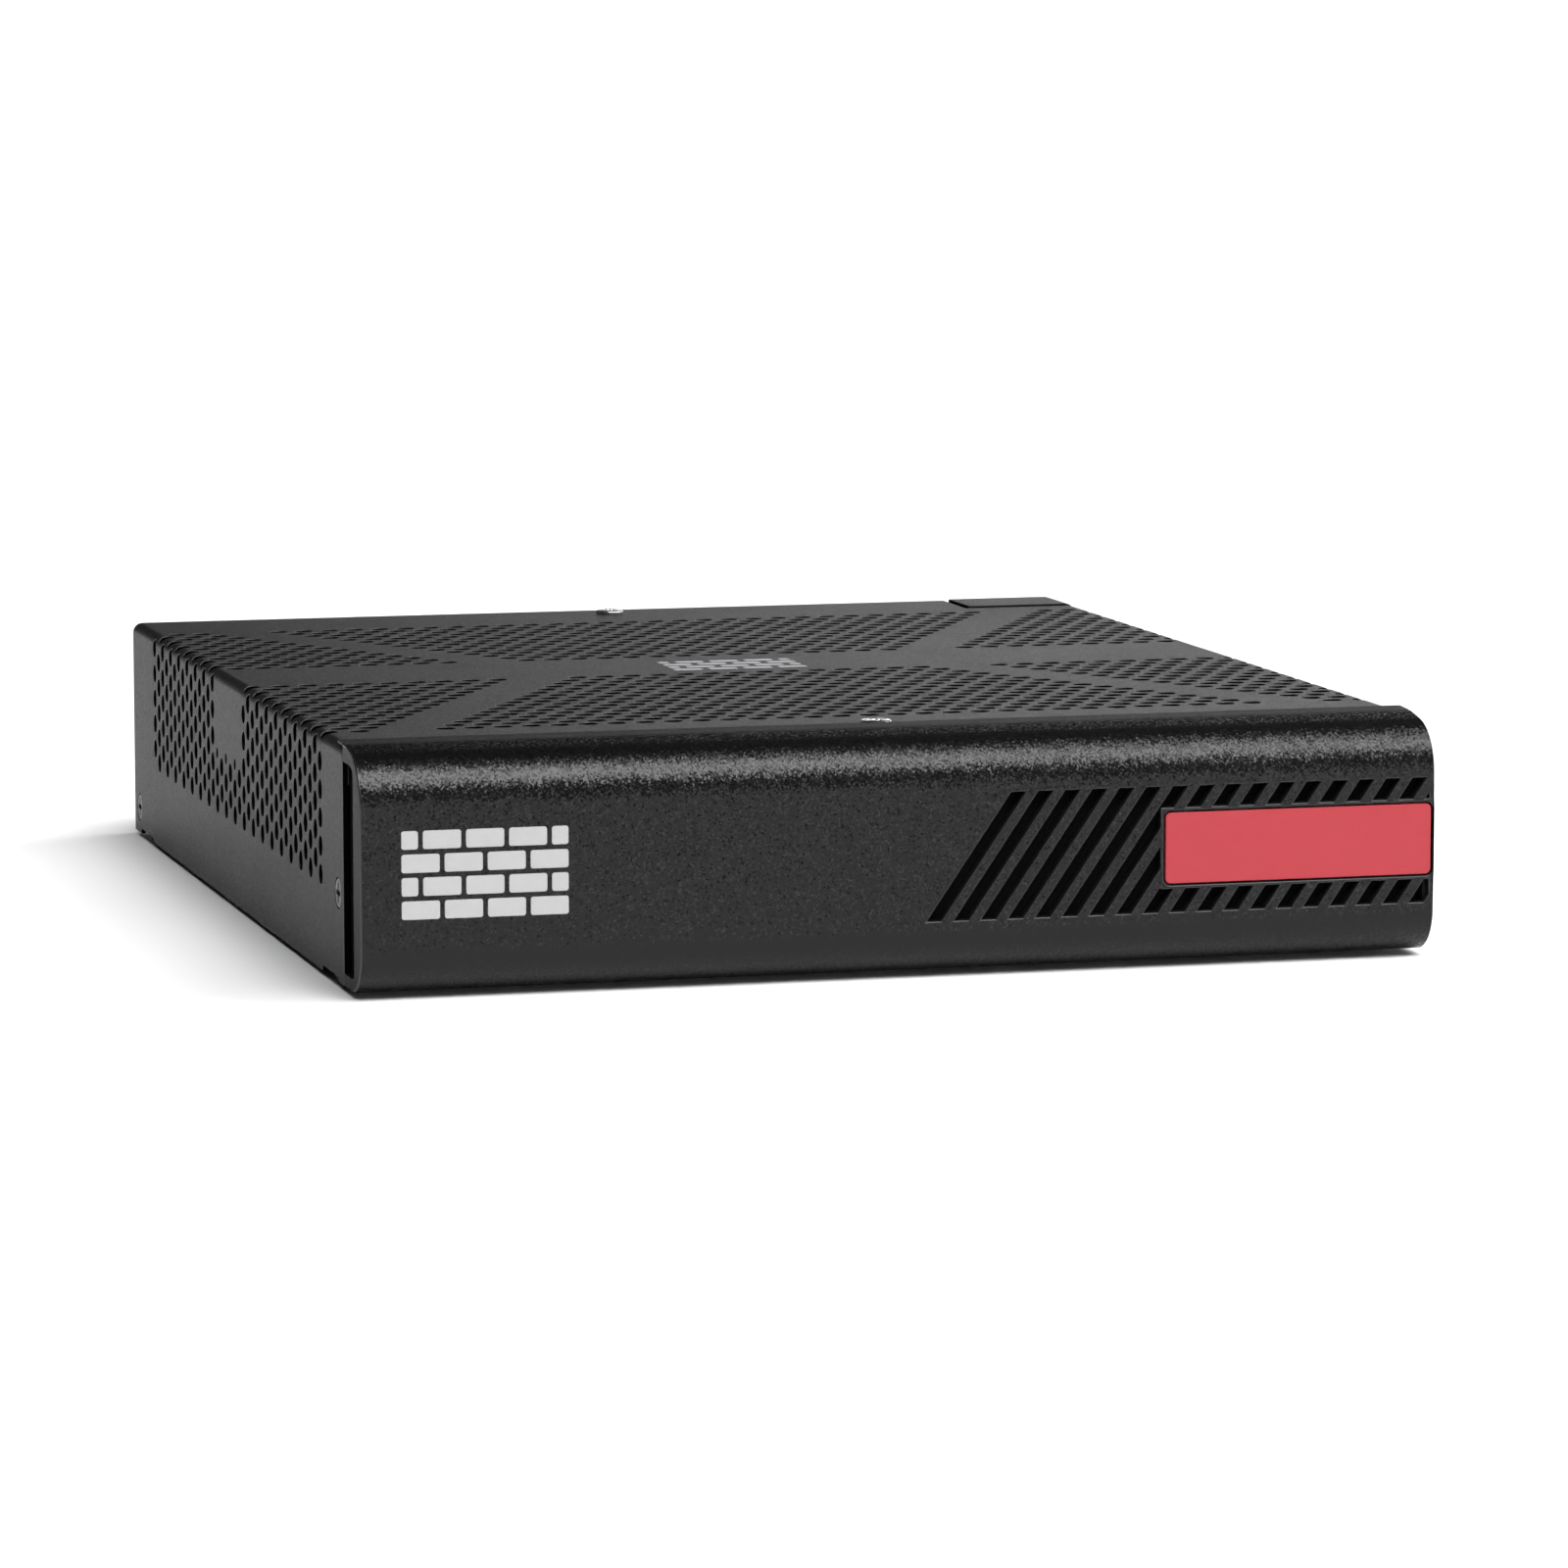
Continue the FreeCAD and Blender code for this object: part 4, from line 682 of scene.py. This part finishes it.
# ---- front bezel -----------------------------------------------------------------------------------
TOP_R, TOP_START_Z, TOP_END_Z = 9.4, 34.3, 43.6
BOTTOM_R = 8.2
WALL = 2.4
FACE_LOW = BEZEL_LOW[2] + BOTTOM_R
LIP_START_Y, LIP_START_Z = FRONT + 12.2, 44.35
STEP_Y = FRONT + 14.4
LIP_Y = FRONT + 18.7
LIP_UNDER_Z = COVER_TOP + 0.08
SLOT_LOW, SLOT_HIGH, SLOT_LEAN = 10.6, 33.4, 15.7
SLOT_WIDTH, SLOT_PITCH, SLOT_COUNT = 2.5, 5.1, 19
SLOT_FIRST_X, SLOT_LAST_X = 3.6, 98.9
LABEL_GAP = 0.25


def bezel_profile():
    """Stations up the outer surface: its point and the matching point of the inner surface, as (y, z)."""
    rows = [((STEP_Y, BEZEL_LOW[2]), (STEP_Y, BEZEL_LOW[2] + WALL))]
    cy, cz = FRONT + BOTTOM_R, FACE_LOW
    for i in range(13):
        a = math.radians(270 - 90 * i / 12)
        rows.append(((cy + BOTTOM_R * math.cos(a), cz + BOTTOM_R * math.sin(a)),
                     (cy + (BOTTOM_R - WALL) * math.cos(a), cz + (BOTTOM_R - WALL) * math.sin(a))))
    face_start = len(rows) - 1
    cy, cz = FRONT + TOP_R, TOP_START_Z
    end = math.degrees(math.asin((TOP_END_Z - TOP_START_Z) / TOP_R))
    for i in range(19):
        a = math.radians(180 - end * i / 18)
        rows.append(((cy + TOP_R * math.cos(a), cz + TOP_R * math.sin(a)),
                     (cy + (TOP_R - WALL) * math.cos(a), cz + (TOP_R - WALL) * math.sin(a))))
    under = rows[-1][1][1]
    rows.append(((LIP_START_Y, LIP_START_Z), (LIP_START_Y, under)))
    lip_slope = (BEZEL_HIGH[2] - LIP_START_Z) / (LIP_Y - LIP_START_Y)
    step_z = LIP_START_Z + lip_slope * (STEP_Y - LIP_START_Y)
    rows.append(((STEP_Y, step_z), (STEP_Y, under)))
    rows.append(((STEP_Y + 0.02, step_z), (STEP_Y, LIP_UNDER_Z)))
    rows.append(((LIP_Y, BEZEL_HIGH[2]), (LIP_Y, LIP_UNDER_Z)))
    return rows, face_start


PROFILE, FACE_ROW = bezel_profile()
OUTER = np.array([r[0] for r in PROFILE])
INNER = np.array([r[1] for r in PROFILE])
RUN = np.concatenate([[0], np.cumsum(np.linalg.norm(np.diff(OUTER, axis=0), axis=1))])
FACE_W = RUN[FACE_ROW]


def wrap(x, w, depth):
    """Bezel wall: x runs across, w runs up its outer surface, depth goes through to the inner surface."""
    outer = np.stack([np.interp(w, RUN, OUTER[:, k]) for k in (0, 1)], axis=1)
    inner = np.stack([np.interp(w, RUN, INNER[:, k]) for k in (0, 1)], axis=1)
    at = outer + (inner - outer) * (np.asarray(depth) / WALL)[:, None]
    return np.column_stack([x, at])


def clip_right(loop, limit):
    """Convex outline cut off at x = limit."""
    out = []
    for (x0, z0), (x1, z1) in zip(loop, loop[1:] + loop[:1]):
        if x0 <= limit:
            out.append((x0, z0))
        if (x0 <= limit) != (x1 <= limit):
            t = (limit - x0) / (x1 - x0)
            out.append((limit, z0 + t * (z1 - z0)))
    return out


def bezel_skin():
    """Face with leaning slots and the label's recess, and the round shoulders above and below it."""
    slots = []
    for i in range(SLOT_COUNT):
        x = SLOT_FIRST_X + SLOT_PITCH * i
        loop = [(x, SLOT_LOW), (x + SLOT_WIDTH, SLOT_LOW),
                (x + SLOT_WIDTH + SLOT_LEAN, SLOT_HIGH), (x + SLOT_LEAN, SLOT_HIGH)]
        slots.append(clip_right(loop, SLOT_LAST_X))
    border = [(LABEL_LOW[0] - 1, LABEL_LOW[2] - 1), (SLOT_LAST_X, LABEL_LOW[2] - 1),
              (SLOT_LAST_X, LABEL_HIGH[2] + 1), (LABEL_LOW[0] - 1, LABEL_HIGH[2] + 1)]
    recess = rounded_box(LABEL_LOW[0] - LABEL_GAP, LABEL_HIGH[0] + LABEL_GAP,
                         LABEL_LOW[2] - LABEL_GAP, LABEL_HIGH[2] + LABEL_GAP, 1.25)
    outline = [(-HALF_W, FACE_LOW), (HALF_W, FACE_LOW), (HALF_W, TOP_START_Z), (-HALF_W, TOP_START_Z)]

    def kept(x, z):
        return inside(border, x, z) and not inside(recess, x, z)

    flat = cut_skin(outline, slots + [recess], ([border], kept))
    skin = Skin()
    for face in flat.faces:
        skin.face([(flat.points[i][0], FACE_W + flat.points[i][1] - FACE_LOW) for i in face])
    for i, (w0, w1) in enumerate(zip(RUN, RUN[1:])):
        if i != FACE_ROW:
            skin.face([(-HALF_W, w0), (HALF_W, w0), (HALF_W, w1), (-HALF_W, w1)])
    return skin


def in_recess(x, w):
    """Whether a point of the bezel's surface lies in the label's recess."""
    z, reach = w - FACE_W + FACE_LOW, LABEL_GAP + 0.05
    across = LABEL_LOW[0] - reach < x < LABEL_HIGH[0] + reach
    return across and LABEL_LOW[2] - reach < z < LABEL_HIGH[2] + reach


def dull_lip(part):
    """Marks the flat top of the lip like a cut face."""
    verts, faces, normals, kinds = part
    first, out = 0, []
    for face, kind in zip(faces, kinds):
        facing_up = normals[first:first + len(face), 2].min() > 0.99
        out.append(CUT if facing_up else kind)
        first += len(face)
    return verts, faces, normals, out


def cheek_outline():
    """Outline of the bezel's set-in end wall, as (y, z)."""
    y0, z0, top = FRONT + 1.2, BEZEL_LOW[2] + 1.2, COVER_TOP - 2.6
    r_low, r_top = BOTTOM_R - 1.2, TOP_R - 1.2
    out = [(FRONT + 7.5, z0 + 1.2), (FRONT + 7.5, top)]
    high = math.degrees(math.asin((top - TOP_START_Z) / r_top))
    out += [(y0 + r_top - r_top * math.cos(math.radians(a)), TOP_START_Z + r_top * math.sin(math.radians(a)))
            for a in np.linspace(high, 0, 8)]
    low = math.degrees(math.acos((r_low - 1.2) / r_low))
    out += [(y0 + r_low - r_low * math.cos(math.radians(a)), z0 + r_low - r_low * math.sin(math.radians(a)))
            for a in np.linspace(0, 90 - low, 8)]
    return out


def cheeks():
    """The set-in end walls."""
    out = []
    for s in (-1, 1):
        loop = cheek_outline()
        if s < 0:
            loop = [(-y, z) for y, z in reversed(loop)]
        place = plane((s * (HALF_W - 0.3), 0, 0), (0, s, 0), (0, 0, 1))
        out.append(thicken(outline_skin(loop), place, 1.5, 0.15))
    return out


def hooks():
    """Spring arms behind the bezel, each with a catch behind the pan's front wall."""
    y0, y1, catch = FRONT + WALL + 0.2, FRONT + 19.6, FRONT + 17.2
    thick, tooth = 1.6, 1.0
    z = 38.2
    upper = [(y0, z), (catch, z), (catch, z - tooth), (y1, z), (y1, z + thick), (y0, z + thick)]
    z = 5.4
    top = z + thick
    lower = [(y0, z), (y1, z), (y1, top), (catch, top + tooth), (catch, top), (y0, top)]
    out = []
    for x in (-78.0, -26.0, 26.0, 78.0):
        for loop in (upper, lower):
            out.append(thicken(outline_skin(loop), plane((x + 4, 0, 0), (0, 1, 0), (0, 0, 1)), 8.0, 0.15))
    return out


def all_cut(part):
    """Marks every face like a cut one."""
    return (*part[:3], [CUT] * len(part[3]))


shell = dull_lip(thicken(bezel_skin(), wrap, WALL, 0.30, in_recess, 1.3))
# The rolled edges get the lighter copy of the plastic: a painted highlight.
build("bezel", [shell] + [all_cut(part) for part in cheeks()] + hooks(), plastic, ["front_bezel"],
      others={CUT: plastic_dull, ROLLED: plastic_rim_highlight})

# Near-black sheet just behind the slots: painted shade standing in for the dark inside of the bezel.
screen = cut_skin(rounded_box(3.0, 97.6, 9.2, 35.2, 1.5), [])
behind_slots = plane((0, FRONT + WALL + 0.15, 0), (1, 0, 0), (0, 0, 1))
build("painted_shade_sheet", [thicken(screen, behind_slots, 0.3, 0.05)], shade_sheet_finish)


# ---- label plate and the generic brick-wall mark ---------------------------------------------------
label_loop = rounded_box(LABEL_LOW[0], LABEL_HIGH[0], LABEL_LOW[2], LABEL_HIGH[2], 1.0, 6)
label_face = plane((0, LABEL_LOW[1], 0), (1, 0, 0), (0, 0, 1))
build("label", [thicken(outline_skin(label_loop), label_face, 1.1, 0.18)], red, ["label_plate"])


def brick_mark(place, x0, z0, brick_w, brick_h, gap, courses=4):
    """Brick wall in running bond, four bricks wide."""
    end = x0 + 4 * (brick_w + gap) - gap
    out = []
    for row in range(courses):
        shift = 0.0 if row % 2 == 0 else -(brick_w + gap) / 2
        for i in range(5):
            a = max(x0 + shift + i * (brick_w + gap), x0)
            b = min(x0 + shift + i * (brick_w + gap) + brick_w, end)
            if b - a > brick_w / 7:
                z = z0 + row * (brick_h + gap)
                loop = rounded_box(a, b, z, z + brick_h, brick_h / 7, 4)
                out.append(thicken(outline_skin(loop), place, 0.05, 0.01))
    return out


on_bezel = plane((0, FRONT - 0.03, 0), (1, 0, 0), (0, 0, 1))
on_cover = plane((0, 0, COVER_TOP + 0.03), (1, 0, 0), (0, 1, 0))
build("brick_mark", brick_mark(on_bezel, -92.6, 14.6, 6.9, 3.3, 0.85), white_ink)
build("cover_mark", brick_mark(on_cover, -13.4, -0.6, 5.6, 2.9, 1.4), grey_ink)


# ---- screws and feet -------------------------------------------------------------------------------
def cross(size, width):
    """Outline of a cross recess."""
    h = width / 2
    return [(size, -h), (size, h), (h, h), (h, size), (-h, size), (-h, h), (-size, h), (-size, -h), (-h, -h),
            (-h, -size), (h, -size), (h, -h)]


def screw_head(origin, along_p, along_q, radius, height, dome, rim):
    """Round head with a cross recess, domed by dome at its middle."""
    skin = cut_skin(circle(0, 0, radius, 48), [cross(radius * 0.62, radius * 0.26)])
    flat = plane(origin, along_p, along_q)

    def place(p, q, depth):
        return flat(p, q, depth + dome * (p * p + q * q) / radius ** 2)
    return thicken(skin, place, height, rim, lambda p, q: math.hypot(p, q) < radius * 0.8, height * 0.62)


def shank(origin, along_p, along_q, radius, length):
    """Plain screw shank."""
    return thicken(outline_skin(circle(0, 0, radius, 20)), plane(origin, along_p, along_q), length, 0.1)


east, north, up_z = (1, 0, 0), (0, 1, 0), (0, 0, 1)
parts = []
for y in TOP_SCREW_YS:
    head_top = (TOP_SCREW_X, y, SCREW_HIGH[2])
    parts.append(screw_head(head_top, east, north, 2.9, SCREW_HIGH[2] - COVER_TOP, 0.22, 0.3))
    parts.append(shank((TOP_SCREW_X, y, COVER_TOP), east, north, 1.5, 4.5))
build("top_screw_set", parts, nickel, ["top_screws"])
parts = []
for y, z in SIDE_SCREWS:
    for s in (-1, 1):
        along = (0, s, 0)
        parts.append(screw_head((s * (HALF_W - 0.05), y, z), along, up_z, 2.75, 0.9, 0.05, 0.18))
        parts.append(shank((s * (HALF_W - 0.95), y, z), along, up_z, 1.5, 4.0))
build("side_screw_set", parts, black_screw, ["side_screws"])
parts = []
foot_low, foot_high = node_box("rubber_feet")
rings = [circle(0, 0, 7.0, 48), circle(0, 0, 4.6, 40), circle(0, 0, 3.8, 36)]
foot_skin = cut_skin(rings[0], rings[1:], ([], lambda p, q: math.hypot(p, q) < 3.8))
for y in FOOT_YS:
    for x in (-92.0, 92.0):
        underside = plane((x, y, foot_low[2]), east, (0, -1, 0))
        parts.append(thicken(foot_skin, underside, foot_high[2] - foot_low[2], 0.4,
                             lambda p, q: math.hypot(p, q) < 5, 0.5))
build("foot_set", parts, rubber, ["rubber_feet"])

# ---- stage -----------------------------------------------------------------------------------------
scene = bpy.context.scene
floor_mesh = bpy.data.meshes.new("floor")
FLOOR = 40.0
floor_mesh.from_pydata([(-FLOOR, -FLOOR, 0), (FLOOR, -FLOOR, 0), (FLOOR, FLOOR, 0), (-FLOOR, FLOOR, 0)], [],
                       [(0, 1, 2, 3)])
floor = bpy.data.objects.new("floor", floor_mesh)
scene.collection.objects.link(floor)
paper = bpy.data.materials.new("pale_floor")
paper.use_nodes = True
shader = paper.node_tree.nodes["Principled BSDF"]
shader.inputs["Base Color"].default_value = (0.90, 0.90, 0.90, 1)
shader.inputs["Roughness"].default_value = 0.9
shader.inputs["Specular IOR Level"].default_value = 0.0
floor_mesh.materials.append(paper)

# One round softbox overhead, and a low horizon glow that is brighter on the right.
world = bpy.data.worlds.new("studio")
scene.world = world
world.use_nodes = True
tree = world.node_tree
tree.nodes.clear()
heading = add(tree, "TexCoord").outputs["Generated"]
towards = add(tree, "VectorMath", {0: heading, 1: Vector((0.10, -0.50, 0.86)).normalized()},
              operation="DOT_PRODUCT").outputs["Value"]
overhead = maths(tree, "MULTIPLY", maths(tree, "POWER", ramp(tree, towards, 0.84, 0.985), 3.0), 11.5)
parts_of = add(tree, "SeparateXYZ", {0: heading})
horizon = ramp(tree, parts_of.outputs["Z"], 0.13, 0.21, 1.0, 0.02)
side = ramp(tree, parts_of.outputs["X"], 0.15, 0.29, 0.20, 3.4)
light = maths(tree, "ADD", overhead, maths(tree, "MULTIPLY", horizon, side))
background = add(tree, "Background", {"Color": (1, 1, 1, 1), "Strength": light})
add(tree, "OutputWorld", {"Surface": background.outputs[0]})

sun = bpy.data.lights.new("side_light", "SUN")
sun.angle = math.radians(50)
sun.energy = 2.4
sun_obj = bpy.data.objects.new("side_light", sun)
sun_obj.rotation_euler = Vector((-1.1, 0.1, -1.0)).to_track_quat("-Z", "Y").to_euler()
scene.collection.objects.link(sun_obj)

# ---- camera ----------------------------------------------------------------------------------------
YAW, DIP, ROLL = math.radians(15.07), math.radians(7.24), math.radians(0.045)
DISTANCE, SIDE, RISE = 1.331, 0.0082, -0.0006
forward = Vector((math.sin(YAW) * math.cos(DIP), math.cos(YAW) * math.cos(DIP), -math.sin(DIP)))
right = Vector((math.cos(YAW), -math.sin(YAW), 0))
above = right.cross(forward)
camera = bpy.data.objects.new("camera", bpy.data.cameras.new("camera"))
camera.data.lens = 156.35
camera.data.sensor_width = 36.0
camera.data.clip_start, camera.data.clip_end = 0.05, 100.0
position = Vector((0, 0, 0.02185)) - forward * DISTANCE + right * SIDE + above * RISE
turned = Matrix((right, above, -forward)).transposed()
camera.matrix_world = Matrix.Translation(position) @ (turned @ Matrix.Rotation(-ROLL, 3, "Z")).to_4x4()
scene.collection.objects.link(camera)
scene.camera = camera
scene.view_settings.view_transform = "Standard"
